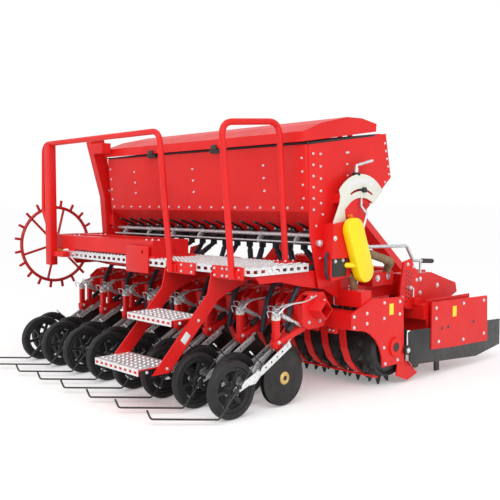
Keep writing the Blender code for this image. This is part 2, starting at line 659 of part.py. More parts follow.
def build_hopper():
    """Folded hopper with its end panels, and the lid."""
    shell = [(0.600, 1.553), (0.631, 1.148), (0.800, 0.985), (0.935, 0.985), (1.190, 1.165),
             (1.452, 1.374), (1.392, 1.660), (1.318, 1.660), (1.318, 1.64)]
    cavity = [(0.605, 1.60), (0.636, 1.150), (0.803, 0.990), (0.932, 0.990), (1.188, 1.170),
              (1.446, 1.376), (1.392, 1.654), (1.315, 1.654), (1.315, 1.70)]
    outer = plate(shell, 0, 2 * HOPPER_HALF + 0.004)
    hollow = plate(cavity, 0, 2 * (HOPPER_HALF - SHEET))
    panel = [(0.629, 1.553), (0.636, 1.148), (0.646, 0.999), (0.726, 0.671), (1.103, 0.728),
             (1.199, 1.160), (1.457, 1.374), (1.396, 1.665), (1.265, 1.650)]
    pieces = [outer]
    pieces += both_sides(lambda s: plate(panel, s * (HOPPER_HALF + PANEL_THICKNESS / 2), PANEL_THICKNESS))
    slots = [box((0, 0.868, 0.985), (2 * HOPPER_HALF - 0.10, 0.05, 0.03))]
    hinges = [fused(pieces, [hollow] + slots)]
    for x in LID_HINGE_X:
        for end in (-1, 1):
            lug_x = x + end * 0.045
            hinges.append(span((lug_x - 0.005, lug_x + 0.005), (LID_HINGE_Y - 0.010, LID_HINGE_Y + 0.035),
                               (LID_HINGE_Z - 0.026, LID_HINGE_Z + 0.010)))
        hinges.append(rod((x - 0.044, LID_HINGE_Y, LID_HINGE_Z), (x + 0.044, LID_HINGE_Y, LID_HINGE_Z),
                          LID_PIN_RADIUS, 12))
    node("hopper", fused(hinges), "red_paint")

    roof = [(0.575, 1.568), (0.580, 1.630), (0.749, 1.692), (0.988, 1.745), (1.140, 1.748),
            (1.294, 1.723), (1.290, 1.672)]
    under = [(0.500, 1.50), (0.584, 1.568), (0.584, 1.627), (0.749, 1.687), (0.988, 1.740),
             (1.138, 1.743), (1.289, 1.719), (1.286, 1.672), (1.30, 1.60)]
    lid_half = HOPPER_HALF + PANEL_THICKNESS
    lid = plate(roof, 0, 2 * lid_half)
    space = plate(under, 0, 2 * (lid_half - SHEET))
    hinge = (0, LID_HINGE_Y, LID_HINGE_Z)
    knuckles = [span((x - 0.030, x + 0.030), (LID_HINGE_Y - 0.019, LID_HINGE_Y + 0.010),
                     (LID_HINGE_Z - 0.010, LID_HINGE_Z + 0.010)) for x in LID_HINGE_X]
    bores = [rod((x - 0.05, LID_HINGE_Y, LID_HINGE_Z), (x + 0.05, LID_HINGE_Y, LID_HINGE_Z),
                 clear(LID_PIN_RADIUS, EYE_SIDES), EYE_SIDES) for x in LID_HINGE_X]
    skin = fused([lid], [space])
    node("hopper_lid", fused([skin] + knuckles, bores), "red_paint", origin=hinge)


def build_seed_delivery():
    """Metering housings under the hopper, their drive shaft, and the tubes to the coulters."""
    box_top = 0.985 - MESH_GAP
    box_bottom = 0.93
    metering_half = 1.06
    pieces = [span((-metering_half, metering_half), (0.810, 0.925), (box_bottom, box_top))]
    shaft_y, shaft_z = 0.700, 1.000
    for x in (-0.95, -0.32, 0.32, 0.95):
        pieces.append(bar((x, shaft_y - 0.005, shaft_z), (x, 0.830, 0.950), 0.012, 0.022))
    pieces.append(rod((-HOPPER_HALF + MESH_GAP, shaft_y, shaft_z),
                      (HOPPER_HALF - MESH_GAP, shaft_y, shaft_z), 0.011))
    node("metering_unit", fused(pieces), "black_steel")

    top = box_bottom - MESH_GAP
    tubes = [span((-metering_half, metering_half), (0.815, 0.905), (top - 0.012, top))]
    outlet_pitch = 2 * metering_half / (ROW_COUNT + 0.3)
    rows = sorted([(x, 0.0) for x in REAR_X] + [(x, ROW_STAGGER) for x in FRONT_X])
    for index, (x, stagger) in enumerate(rows):
        start_x = (index - (ROW_COUNT - 1) / 2) * outlet_pitch
        reach = HOPPER_HALF - 0.045
        beside = x + CLAMP_WIDTH / 2 + 0.021
        if beside > reach:
            beside = x - CLAMP_WIDTH / 2 - 0.021
        inside = max(beside, -reach)
        near = x + (beside - x) * 0.84
        if stagger:
            path = [(start_x, 0.86, top - 0.006), (start_x, 0.86, 0.905), (inside, 0.830, 0.805),
                    (inside, 0.805, 0.640), (beside, 0.795, 0.56), (beside, 0.720, 0.44),
                    (near, 0.660, 0.385)]
        else:
            path = [(start_x, 0.86, top - 0.006), (start_x, 0.86, 0.905), (beside, 0.760, 0.825),
                    (beside, 0.590, 0.69), (beside, 0.535, 0.60), (beside, 0.505, 0.49),
                    (near, 0.495, 0.395)]
        tubes.append(wire(path, 0.017))
    node("seed_tubes", fused(tubes), "blue_black_rubber")


# ---- walkway ----
def tray(x_range, y_range, top, lip, thickness):
    """A folded tread plate with a lip all round, open below."""
    outer = span(x_range, y_range, (top - lip, top))
    inside = span((x_range[0] + thickness, x_range[1] - thickness),
                  (y_range[0] + thickness, y_range[1] - thickness), (top - lip - 0.01, top - thickness))
    return outer, inside


def build_walkway():
    """Platform, ladder and handrails."""
    outer, inside = tray((PLATFORM_LEFT, PLATFORM_RIGHT), (PLATFORM_REAR, PLATFORM_FRONT),
                         PLATFORM_TOP, PLATFORM_LIP, PLATFORM_PLATE)
    node("platform", fused([outer], [inside]), "zinc")

    lip_y = PLATFORM_REAR - MESH_GAP
    under = PLATFORM_TOP - PLATFORM_LIP - MESH_GAP
    stringer = [(lip_y, PLATFORM_TOP - 0.04), (lip_y, under), (0.50, under), (0.50, 0.745),
                (0.26, 0.655), (0.185, 0.620), (-0.185, 0.235), (-0.300, 0.235), (0.105, 0.665),
                (0.135, PLATFORM_TOP - 0.04)]
    pieces = [plate(stringer, x, LADDER_PLATE) for x in (LADDER_LEFT_X, LADDER_RIGHT_X)]
    inset = LADDER_PLATE / 2 - 0.001
    for step_y, step_z in ((-0.16 + STEP_DEPTH / 2, 0.53), (-0.39 + STEP_DEPTH / 2, 0.28)):
        pieces.append(span((LADDER_LEFT_X + inset, LADDER_RIGHT_X - inset),
                           (step_y - STEP_DEPTH / 2, step_y + STEP_DEPTH / 2), (step_z - 0.006, step_z)))
        for end in (-1, 1):
            pieces.append(span((LADDER_LEFT_X + inset, LADDER_RIGHT_X - inset),
                               sorted((step_y + end * STEP_DEPTH / 2, step_y + end * (STEP_DEPTH / 2 - 0.005))),
                               (step_z - STEP_LIP, step_z)))
    for plate_x in ((LADDER_RIGHT_X - 0.001, 1.035), (LADDER_LEFT_X - 0.001, 0.60)):
        pieces.append(span(plate_x, (lip_y - 0.010, lip_y), (0.760, PLATFORM_TOP - 0.002)))
    node("ladder", fused(pieces), "red_paint")

    rail_x = 0.965
    rear_leg_y = lip_y - 0.010 - MESH_GAP - RAIL_TUBE_RADIUS
    corners = [(rail_x, rear_leg_y, 0.765), (rail_x, rear_leg_y - 0.08, 1.655),
               (rail_x, 0.50, 1.690), (rail_x, 0.560, PLATFORM_TOP + 0.004)]
    pieces = [wire(rounded(corners, RAIL_BEND, 4), RAIL_TUBE_RADIUS, 2)]
    pieces.append(span((rail_x - 0.05, rail_x + 0.05), (0.51, 0.61),
                       (PLATFORM_TOP + MESH_GAP, PLATFORM_TOP + 0.01)))
    pieces.append(span((rail_x - 0.04, rail_x + 0.04), (lip_y - 0.020, lip_y - 0.010 - MESH_GAP),
                       (0.770, 0.815)))
    node("side_handrail", fused(pieces), "red_paint")

    post_x = -1.115
    rail_y = 0.10
    corners = [(0.385, rear_leg_y, 0.765), (0.300, rail_y, 1.655), (-1.205, rail_y, 1.655),
               (-1.225, rail_y, 1.140), (post_x - 0.02, rail_y, 0.985)]
    pieces = [wire(rounded(corners, RAIL_BEND, 4), RAIL_TUBE_RADIUS, 2)]
    pieces.append(span((post_x - 0.04, post_x + 0.04), (rail_y - 0.03, rail_y + 0.03), (0.722, 1.645)))
    pieces.append(span((0.345, 0.425), (lip_y - 0.022, lip_y - 0.010 - MESH_GAP), (0.770, 0.815)))
    pieces.append(span((post_x - 0.03, PLATFORM_LEFT + 0.12), (rail_y - 0.01, lip_y), (0.79, 0.83)))
    node("rear_handrail", fused(pieces), "red_paint")


# ---- star wheel that drives the metering, lifted for the road ----
def build_star_wheel():
    """Spiked ground wheel and the beams and column that hold it."""
    curve = bpy.data.curves.new("rim", "CURVE")
    curve.dimensions = "3D"
    curve.bevel_depth = STAR_ROD_RADIUS
    curve.bevel_resolution = 1
    spline = curve.splines.new("POLY")
    count = 2 * STAR_SPIKES
    spline.points.add(count - 1)
    for index, point in enumerate(spline.points):
        angle = 2 * math.pi * index / count
        point.co = (0, STAR_RIM_RADIUS * math.cos(angle), STAR_RIM_RADIUS * math.sin(angle), 1)
    spline.use_cyclic_u = True
    pieces = [as_mesh(add("rim", curve))]
    pieces.append(rod((-0.045, 0, 0), (0.045, 0, 0), 0.045, 16))
    for index in range(STAR_SPOKES):
        angle = 2 * math.pi * (index + 0.25) / STAR_SPOKES
        way = Vector((0, math.cos(angle), math.sin(angle)))
        pieces.append(rod(way * 0.02, way * STAR_RIM_RADIUS, 0.009, 6))
    for index in range(STAR_SPIKES):
        angle = 2 * math.pi * (index + 0.5) / STAR_SPIKES
        way = Vector((0, math.cos(angle), math.sin(angle)))
        pieces.append(rod(way * STAR_RIM_RADIUS, way * STAR_SPIKE_RADIUS, 0.009, 4))
    axle_radius = 0.018
    bore = rod((-0.1, 0, 0), (0.1, 0, 0), clear(axle_radius, EYE_SIDES), EYE_SIDES)
    star = node("star_wheel", fused(pieces, [bore]), "dark_red_paint")
    star.location = (STAR_X, STAR_Y, STAR_Z)

    floor = PLATFORM_TOP + MESH_GAP
    pieces = [
        span((-1.30, 0.125), (0.17, 0.27), (floor + 0.012, floor + 0.115)),
        span((-1.30, 0.085), (0.40, 0.50), (floor + 0.012, floor + 0.115)),
        span((-0.03, 0.16), (0.155, 0.29), (floor, floor + 0.014)),
        span((-0.05, 0.14), (0.385, 0.53), (floor, floor + 0.014)),
        span((-0.97, -0.88), (0.165, 0.53), (floor, floor + 0.014)),
        span((-1.31, -1.29), (0.17, 0.74), (floor + 0.012, floor + 0.115)),
        rod((STAR_X - 0.05, STAR_Y, STAR_Z), (-1.295, STAR_Y, STAR_Z), axle_radius, 12),
        rod((STAR_X - 0.060, STAR_Y, STAR_Z), (STAR_X - 0.051 + 0.002, STAR_Y, STAR_Z), 0.030, 12),
        rod((STAR_X + 0.052, STAR_Y, STAR_Z), (-1.295, STAR_Y, STAR_Z), 0.040, 12),
        plate([(0.640, floor + 0.02), (0.735, floor + 0.02), (0.728, 1.10), (0.615, 1.720),
               (0.490, 1.690), (0.612, 1.25)], -1.20, 0.07),
        span((-1.30, -1.17), (0.645, 0.73), (floor + 0.012, floor + 0.115)),
        span((-1.17, -1.091 - MESH_GAP), (0.655, 0.72), (1.02, 1.10)),
        span((-1.17, -0.98), (0.48, 0.56), (1.595, 1.675)),
    ]
    node("star_wheel_frame", fused(pieces), "red_paint")


# ---- drive side ----
def build_drive():
    """Gear case, chain guard and setting dial on the right end panel."""
    face = HOPPER_HALF + PANEL_THICKNESS + MESH_GAP
    pieces = [
        plate([(0.745, 0.86), (0.760, 1.07), (0.90, 1.09), (0.985, 1.03), (0.985, 0.86)],
              face + 0.045, 0.09),
        plate([(0.765, 0.72), (0.765, 0.865), (0.95, 0.865), (0.95, 0.74)], face + 0.035, 0.07),
        span((face, face + 0.06), (0.90, 1.02), (0.84, 1.24)),
        span((face, face + 0.05), (0.86, 1.20), (1.20, 1.26)),
    ]
    node("drive_case", fused(pieces), "red_paint")
    guard_x = face + 0.09 + MESH_GAP + 0.03
    top, bottom, half = Vector((0.912, 1.035)), Vector((1.014, 0.775)), 0.075
    lean = math.atan2((top - bottom).y, (top - bottom).x)
    outline = []
    for centre, start in ((top, lean - math.pi / 2), (bottom, lean + math.pi / 2)):
        for step in range(7):
            angle = start + math.pi * step / 6
            outline.append((centre.x + half * math.cos(angle), centre.y + half * math.sin(angle)))
    node("chain_guard", plate(outline, guard_x, 0.06), "yellow_paint")
    dial_x = face + 0.06 + MESH_GAP + 0.003
    centre_y, centre_z = 1.06, 1.115
    arch = [(centre_y + 0.255 * math.cos(math.radians(a)), centre_z + 0.235 * math.sin(math.radians(a)))
            for a in range(30, 151, 15)]
    inner = [(centre_y + 0.15 * math.cos(math.radians(a)), centre_z + 0.115 * math.sin(math.radians(a)))
             for a in range(150, 44, -15)]
    outline = arch + [(0.772, 1.105), (0.745, 1.095), (0.905, 1.09)] + inner + [(1.22, 1.205)]
    node("dial_plate", plate(outline, dial_x, 0.006), "ivory_paint")


def centre_on_ground():
    """Move the machine so that the origin is under the middle of its box."""
    bpy.context.view_layer.update()
    corners = [thing.matrix_world @ vertex.co for thing in PARTS.objects if thing.type == "MESH"
               for vertex in thing.data.vertices]
    low = [min(c[axis] for c in corners) for axis in range(3)]
    high = [max(c[axis] for c in corners) for axis in range(3)]
    MACHINE.location = (-(low[0] + high[0]) / 2, -(low[1] + high[1]) / 2, -low[2])
    bpy.context.view_layer.update()


build_coulters()
build_roller()
build_harrow()
build_drill_frame()
build_hopper()
build_seed_delivery()
build_walkway()
build_star_wheel()
build_drive()
centre_on_ground()
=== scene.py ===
# %% Seed drill: the finished look of every surface
import math

import bmesh
import bpy
from mathutils import Matrix, Vector


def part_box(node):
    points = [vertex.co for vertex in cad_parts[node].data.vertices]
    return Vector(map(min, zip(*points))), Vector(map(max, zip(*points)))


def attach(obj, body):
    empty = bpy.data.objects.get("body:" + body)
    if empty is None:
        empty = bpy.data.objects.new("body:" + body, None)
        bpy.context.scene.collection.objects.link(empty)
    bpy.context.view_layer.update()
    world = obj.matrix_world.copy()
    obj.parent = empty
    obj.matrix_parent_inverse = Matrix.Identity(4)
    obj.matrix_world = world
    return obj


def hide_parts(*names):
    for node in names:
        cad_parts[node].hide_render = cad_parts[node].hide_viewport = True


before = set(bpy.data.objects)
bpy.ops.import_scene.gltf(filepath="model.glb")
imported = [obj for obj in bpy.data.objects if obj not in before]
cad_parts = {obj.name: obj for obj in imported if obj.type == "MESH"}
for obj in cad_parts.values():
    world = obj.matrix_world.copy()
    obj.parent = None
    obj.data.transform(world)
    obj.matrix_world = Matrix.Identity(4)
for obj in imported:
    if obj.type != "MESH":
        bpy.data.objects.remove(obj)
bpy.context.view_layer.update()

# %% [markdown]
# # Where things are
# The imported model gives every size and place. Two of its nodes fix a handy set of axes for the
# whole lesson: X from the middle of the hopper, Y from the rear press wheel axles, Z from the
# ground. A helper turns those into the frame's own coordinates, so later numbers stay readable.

hopper_low, hopper_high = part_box("hopper")
wheel_low, wheel_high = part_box("press_wheel_rear_1")
MIDDLE_X = (hopper_low[0] + hopper_high[0]) / 2
AXLE_Y = (wheel_low[1] + wheel_high[1]) / 2
WHEEL_RADIUS = (wheel_high[2] - wheel_low[2]) / 2
ROWS = 16
PITCH = 2.5 / ROWS
MAIN = "machine"


def at(x, y, z):
    """A place given from the hopper's middle, the rear axles and the ground."""
    return Vector((MIDDLE_X + x, AXLE_Y + y, z))


def centre(node):
    """The middle of a CAD node's box."""
    low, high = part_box(node)
    return (Vector(low) + Vector(high)) / 2


print("hopper middle", round(MIDDLE_X, 4), "rear axle", round(AXLE_Y, 4))

# %% [markdown]
# # Camera
# The machine is seen from behind and from its drive side, a little above the walkway. The camera
# comes first.

# %% Camera
eye = bpy.data.cameras.new("view")
eye.sensor_width = 36.0
eye.lens = 53.15
camera = bpy.data.objects.new("view", eye)
camera.location = at(4.1135, -2.6893, 1.2047)
camera.rotation_euler = (math.radians(90 - 3.69), 0, math.radians(46.85))
bpy.context.collection.objects.link(camera)
bpy.context.scene.camera = camera
print("camera at", [round(v, 3) for v in camera.location])

# %% [markdown]
# # Finishes
# Every finish is a Principled shader whose colour, roughness and bump are stirred by noise read
# from Object coordinates, so no surface is one flat value. Paint gets a fine orange peel and a
# clear coat, zinc gets the patchy spangle of hot dipping, rubber gets a dusty grain.

# %% Finish helpers
def shader(name, colour, roughness, metallic=0.0):
    """A new material, its tree and its Principled node."""
    made = bpy.data.materials.new(name)
    made.use_nodes = True
    tree = made.node_tree
    main = tree.nodes["Principled BSDF"]
    main.inputs["Base Color"].default_value = (*colour, 1.0)
    main.inputs["Roughness"].default_value = roughness
    main.inputs["Metallic"].default_value = metallic
    return made, tree, main


def noise(tree, scale, detail=3.0, stretch=(1, 1, 1)):
    """Noise on Object coordinates."""
    where = tree.nodes.new("ShaderNodeTexCoord")
    turn = tree.nodes.new("ShaderNodeMapping")
    turn.inputs["Scale"].default_value = stretch
    made = tree.nodes.new("ShaderNodeTexNoise")
    made.inputs["Scale"].default_value = scale
    made.inputs["Detail"].default_value = detail
    tree.links.new(where.outputs["Object"], turn.inputs["Vector"])
    tree.links.new(turn.outputs["Vector"], made.inputs["Vector"])
    return made.outputs["Fac"]


def spread(tree, value, low, high):
    """Stretch a 0 to 1 value to a range."""
    made = tree.nodes.new("ShaderNodeMapRange")
    made.inputs["From Min"].default_value = 0.3
    made.inputs["From Max"].default_value = 0.7
    made.inputs["To Min"].default_value = low
    made.inputs["To Max"].default_value = high
    tree.links.new(value, made.inputs["Value"])
    return made.outputs["Result"]


def blend_colours(tree, value, one, two):
    """A colour between two, led by a value."""
    made = tree.nodes.new("ShaderNodeValToRGB")
    made.color_ramp.elements[0].position = 0.35
    made.color_ramp.elements[1].position = 0.65
    made.color_ramp.elements[0].color = (*one, 1.0)
    made.color_ramp.elements[1].color = (*two, 1.0)
    tree.links.new(value, made.inputs["Fac"])
    return made.outputs["Color"]


def bump(tree, main, height, strength, distance):
    """Small relief from a value."""
    made = tree.nodes.new("ShaderNodeBump")
    made.inputs["Strength"].default_value = strength
    made.inputs["Distance"].default_value = distance
    tree.links.new(height, made.inputs["Height"])
    tree.links.new(made.outputs["Normal"], main.inputs["Normal"])


def stirred(name, one, two, rough_low, rough_high, metallic=0.0, scale=9.0, grain=300.0,
            relief=0.04, coat=0.0):
    """A finish whose colour, gloss and relief all vary a little."""
    made, tree, main = shader(name, one, rough_low, metallic)
    cloud = noise(tree, scale)
    tree.links.new(blend_colours(tree, cloud, one, two), main.inputs["Base Color"])
    tree.links.new(spread(tree, noise(tree, scale * 3), rough_low, rough_high),
                   main.inputs["Roughness"])
    bump(tree, main, noise(tree, grain, 2.0), relief, 0.001)
    main.inputs["Specular IOR Level"].default_value = 0.35
    main.inputs["Coat Weight"].default_value = coat
    main.inputs["Coat Roughness"].default_value = 0.12
    return made


# %% Paints, metals, rubber and plastics
RED = stirred("red_enamel", (0.70, 0.006, 0.006), (0.77, 0.010, 0.008), 0.42, 0.54,
              scale=2.5, relief=0.05, coat=0.06)
DARK_RED = stirred("dark_red_enamel", (0.42, 0.010, 0.012), (0.50, 0.014, 0.014), 0.38, 0.5,
                   scale=6.0, coat=0.15)
YELLOW = stirred("yellow_enamel", (0.93, 0.70, 0.0), (0.97, 0.76, 0.005), 0.30, 0.42,
                 scale=4.0, coat=0.25)
IVORY = stirred("ivory_enamel", (0.74, 0.74, 0.66), (0.80, 0.79, 0.72), 0.42, 0.55, scale=5.0)
BLACK_PAINT = stirred("black_enamel", (0.018, 0.018, 0.018), (0.032, 0.032, 0.032), 0.38, 0.55,
                      scale=7.0, coat=0.1)
DISC_STEEL = stirred("disc_blacking", (0.020, 0.020, 0.020), (0.040, 0.038, 0.036), 0.34, 0.52,
                     metallic=0.4, scale=12.0, grain=700.0)
TYRE = stirred("tyre_rubber", (0.012, 0.012, 0.013), (0.020, 0.020, 0.021), 0.48, 0.66,
               scale=30.0, grain=500.0, relief=0.12)
RIM = stirred("moulded_black", (0.014, 0.014, 0.015), (0.022, 0.022, 0.024), 0.34, 0.48,
              scale=20.0, grain=600.0)
HOSE = stirred("blue_black_rubber", (0.018, 0.022, 0.036), (0.034, 0.040, 0.060), 0.42, 0.62,
               scale=25.0, grain=400.0, relief=0.08)
BROWN_HOSE = stirred("braided_hose", (0.20, 0.13, 0.07), (0.30, 0.20, 0.11), 0.55, 0.7,
                     scale=40.0, grain=300.0, relief=0.1)
BRASS = stirred("yellow_chromate", (0.62, 0.42, 0.12), (0.74, 0.56, 0.24), 0.26, 0.40,
                metallic=0.85, scale=25.0)
BOLT = stirred("bright_zinc", (0.66, 0.68, 0.70), (0.80, 0.81, 0.82), 0.22, 0.36,
               metallic=0.75, scale=40.0)
WHITE = stirred("white_plastic", (0.74, 0.74, 0.72), (0.80, 0.80, 0.79), 0.40, 0.5, scale=30.0)
LABEL = stirred("blank_label", (0.78, 0.78, 0.80), (0.82, 0.82, 0.84), 0.35, 0.42, scale=20.0)
SIGN = stirred("yellow_label", (0.90, 0.72, 0.02), (0.94, 0.78, 0.04), 0.35, 0.42, scale=20.0)


def zinc_finish(name, dark, light):
    """Hot dipped steel: patches of spangle, each with its own grey and gloss."""
    made, tree, main = shader(name, light, 0.38, 0.6)
    where = tree.nodes.new("ShaderNodeTexCoord")
    cells = tree.nodes.new("ShaderNodeTexVoronoi")
    cells.inputs["Scale"].default_value = 85.0
    tree.links.new(where.outputs["Object"], cells.inputs["Vector"])
    split = tree.nodes.new("ShaderNodeSeparateColor")
    tree.links.new(cells.outputs["Color"], split.inputs["Color"])
    patches = blend_colours(tree, split.outputs["Red"], dark, light)
    tree.links.new(patches, main.inputs["Base Color"])
    tree.links.new(spread(tree, split.outputs["Green"], 0.30, 0.48), main.inputs["Roughness"])
    bump(tree, main, noise(tree, 60.0), 0.05, 0.001)
    return made


ZINC = zinc_finish("hot_dip_zinc", (0.70, 0.72, 0.73), (0.82, 0.83, 0.84))
STEEL = zinc_finish("drawn_steel", (0.55, 0.57, 0.60), (0.68, 0.70, 0.72))
print("finishes", len([m for m in bpy.data.materials if m.use_nodes]))

# %% [markdown]
# # A small workshop
# Most of the machine is folded sheet, flat bar, tube and turned parts. Four helpers cover those:
# a block that is added as a cube and bevelled, a plate cut from an outline, a tube swept along a
# path, and a turned piece made from half a section. Each ends with its place in its mesh.

# %% Workshop helpers
def deselect():
    bpy.ops.object.select_all(action="DESELECT")


def choose(piece):
    deselect()
    piece.select_set(True)
    bpy.context.view_layer.objects.active = piece


def settle(piece):
    """Apply modifiers and place."""
    choose(piece)
    for modifier in list(piece.modifiers):
        bpy.ops.object.modifier_apply(modifier=modifier.name)
    bpy.ops.object.transform_apply(location=True, rotation=True, scale=True)
    return piece


def soften(piece, width=0.002, segments=2, angle=35):
    """Round the edges a little, as folding and cutting leave them."""
    if width:
        edge = piece.modifiers.new("Bevel", "BEVEL")
        edge.width = width
        edge.segments = segments
        edge.limit_method = "ANGLE"
        edge.angle_limit = math.radians(angle)
    settle(piece)
    bpy.ops.object.shade_smooth_by_angle(angle=math.radians(40))
    return piece


def block(low, high, width=0.002, turn=(0, 0, 0)):
    """A block between two corners, bevelled."""
    low, high = Vector(low), Vector(high)
    deselect()
    bpy.ops.mesh.primitive_cube_add(size=1, location=(low + high) / 2, rotation=turn,
                                    scale=high - low)
    piece = bpy.context.active_object
    bpy.ops.object.transform_apply(location=False, rotation=False, scale=True)
    return soften(piece, width, 2)


def bar(start, end, width, height, soft=0.002):
    """A straight flat bar between two points."""
    start, end = Vector(start), Vector(end)
    deselect()
    turn = (end - start).to_track_quat("Z", "Y").to_euler()
    bpy.ops.mesh.primitive_cube_add(size=1, location=(start + end) / 2, rotation=turn,
                                    scale=(width, height, (end - start).length))
    piece = bpy.context.active_object
    bpy.ops.object.transform_apply(location=False, rotation=False, scale=True)
    return soften(piece, soft, 2)


def rod(start, end, radius, sides=20, soft=0.0012):
    """A round bar between two points with its end edges broken."""
    start, end = Vector(start), Vector(end)
    deselect()
    turn = (end - start).to_track_quat("Z", "Y").to_euler()
    bpy.ops.mesh.primitive_cylinder_add(vertices=sides, radius=radius, depth=(end - start).length,
                                        location=(start + end) / 2, rotation=turn)
    return soften(bpy.context.active_object, min(soft, radius * 0.3), 1, 50)


def plate(outline, x, thickness, soft=0.0015):
    """A flat plate that stands across X, cut from its (y, z) outline."""
    curve = bpy.data.curves.new("plate", "CURVE")
    curve.dimensions = "2D"
    curve.fill_mode = "BOTH"
    curve.extrude = thickness / 2
    line = curve.splines.new("POLY")
    line.points.add(len(outline) - 1)
    for point, (y, z) in zip(line.points, outline):
        point.co = (y, z, 0, 1)
    line.use_cyclic_u = True
    piece = bpy.data.objects.new("plate", curve)
    piece.location = at(x, 0, 0)
    piece.rotation_euler = (math.pi / 2, 0, math.pi / 2)
    bpy.context.collection.objects.link(piece)
    choose(piece)
    bpy.ops.object.convert(target="MESH")
    piece = bpy.context.active_object
    bpy.ops.object.mode_set(mode="EDIT")
    bpy.ops.mesh.select_all(action="SELECT")
    bpy.ops.mesh.remove_doubles(threshold=0.00005)
    bpy.ops.mesh.dissolve_limited(angle_limit=0.01)
    bpy.ops.mesh.normals_make_consistent(inside=False)
    bpy.ops.object.mode_set(mode="OBJECT")
    return soften(piece, soft, 2)


def tube(points, radius, smooth=3, resolution=3):
    """A bent tube, wire or hose swept along its points."""
    curve = bpy.data.curves.new("tube", "CURVE")
    curve.dimensions = "3D"
    curve.bevel_depth = radius
    curve.bevel_resolution = smooth
    curve.use_fill_caps = True
    line = curve.splines.new("POLY")
    line.points.add(len(points) - 1)
    for point, place in zip(line.points, points):
        point.co = (*place, 1)
    piece = bpy.data.objects.new("tube", curve)
    bpy.context.collection.objects.link(piece)
    choose(piece)
    bpy.ops.object.convert(target="MESH")
    piece = bpy.context.active_object
    bpy.ops.object.mode_set(mode="EDIT")
    bpy.ops.mesh.select_all(action="SELECT")
    bpy.ops.mesh.remove_doubles(threshold=0.00005)
    bpy.ops.object.mode_set(mode="OBJECT")
    bpy.ops.object.shade_smooth_by_angle(angle=math.radians(40))
    return piece


def rounded(corners, radius, steps=6):
    """Points along a path with its corners rounded."""
    corners = [Vector(c) for c in corners]
    path = [corners[0]]
    for before, corner, after in zip(corners, corners[1:], corners[2:]):
        back, on = (before - corner).normalized(), (after - corner).normalized()
        reach = min(radius / math.tan(max(back.angle(on) / 2, 0.05)),
                    0.45 * (before - corner).length, 0.45 * (after - corner).length)
        start, end = corner + back * reach, corner + on * reach
        for step in range(steps + 1):
            t = step / steps
            path.append(start * (1 - t) ** 2 + corner * 2 * t * (1 - t) + end * t ** 2)
    path.append(corners[-1])
    return path


def turned(profile, steps=48, mirrored=True):
    """A piece turned about X from (radius, x) pairs."""
    pairs = list(profile)
    if mirrored:
        pairs += [(radius, -x) for radius, x in reversed(profile)]
    mesh = bpy.data.meshes.new("turned")
    closed = pairs[0][0] > 0
    edges = [(i, i + 1) for i in range(len(pairs) - 1)] + ([(len(pairs) - 1, 0)] if closed else [])
    mesh.from_pydata([(radius, 0, x) for radius, x in pairs], edges, [])
    piece = bpy.data.objects.new("turned", mesh)
    bpy.context.collection.objects.link(piece)
    screw = piece.modifiers.new("Screw", "SCREW")
    screw.steps = steps
    screw.render_steps = steps
    screw.use_merge_vertices = True
    screw.merge_threshold = 0.00001
    piece.rotation_euler = (0, math.pi / 2, 0)
    settle(piece)
    bpy.ops.object.mode_set(mode="EDIT")
    bpy.ops.mesh.select_all(action="SELECT")
    bpy.ops.mesh.normals_make_consistent(inside=False)
    bpy.ops.object.mode_set(mode="OBJECT")
    bpy.ops.object.shade_smooth_by_angle(angle=math.radians(35))
    return piece


def merged(name, pieces):
    """Several pieces as one object."""
    deselect()
    for piece in pieces:
        piece.select_set(True)
    bpy.context.view_layer.objects.active = pieces[0]
    if len(pieces) > 1:
        bpy.ops.object.join()
    pieces[0].name = name
    return pieces[0]


def copies(name, source, moves, keep=False):
    """One mesh with a copy of the source for each matrix."""
    bm = bmesh.new()
    for move in moves:
        start = len(bm.verts)
        bm.from_mesh(source.data)
        bm.verts.ensure_lookup_table()
        bmesh.ops.transform(bm, matrix=move, verts=bm.verts[start:])
    mesh = bpy.data.meshes.new(name)
    bm.to_mesh(mesh)
    bm.free()
    made = bpy.data.objects.new(name, mesh)
    bpy.context.collection.objects.link(made)
    if not keep:
        bpy.data.objects.remove(source)
    return made


def shift(x, y, z):
    return Matrix.Translation((x, y, z))


def cut(piece, cutters):
    """Take cutters out of a piece."""
    tool = merged("cutter", cutters)
    hole = piece.modifiers.new("Cut", "BOOLEAN")
    hole.operation = "DIFFERENCE"
    hole.solver = "EXACT"
    hole.use_self = len(cutters) > 1
    hole.object = tool
    settle(piece)
    bpy.data.objects.remove(tool)
    choose(piece)
    bpy.ops.object.shade_smooth_by_angle(angle=math.radians(35))
    return piece


def dress(piece, name, finish, body=MAIN, stands_for=()):
    """Name a finished piece, paint it and let it ride."""
    piece.name = name
    piece.data.name = name
    piece.data.materials.clear()
    piece.data.materials.append(finish)
    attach(piece, body)
    if stands_for:
        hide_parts(*stands_for)
    return piece


def bolt_head(radius=0.0075, height=0.006):
    """A hexagon head on its washer, pointing along +X from the origin."""
    deselect()
    bpy.ops.mesh.primitive_cylinder_add(vertices=6, radius=radius, depth=height,
                                        location=(height / 2 + 0.0015, 0, 0),
                                        rotation=(0, math.pi / 2, 0))
    head = soften(bpy.context.active_object, radius * 0.12, 1, 50)
    deselect()
    bpy.ops.mesh.primitive_cylinder_add(vertices=16, radius=radius * 1.35, depth=0.0015,
                                        location=(0.00075, 0, 0), rotation=(0, math.pi / 2, 0))
    washer = soften(bpy.context.active_object, 0.0003, 1, 50)
    return merged("bolt", [head, washer])


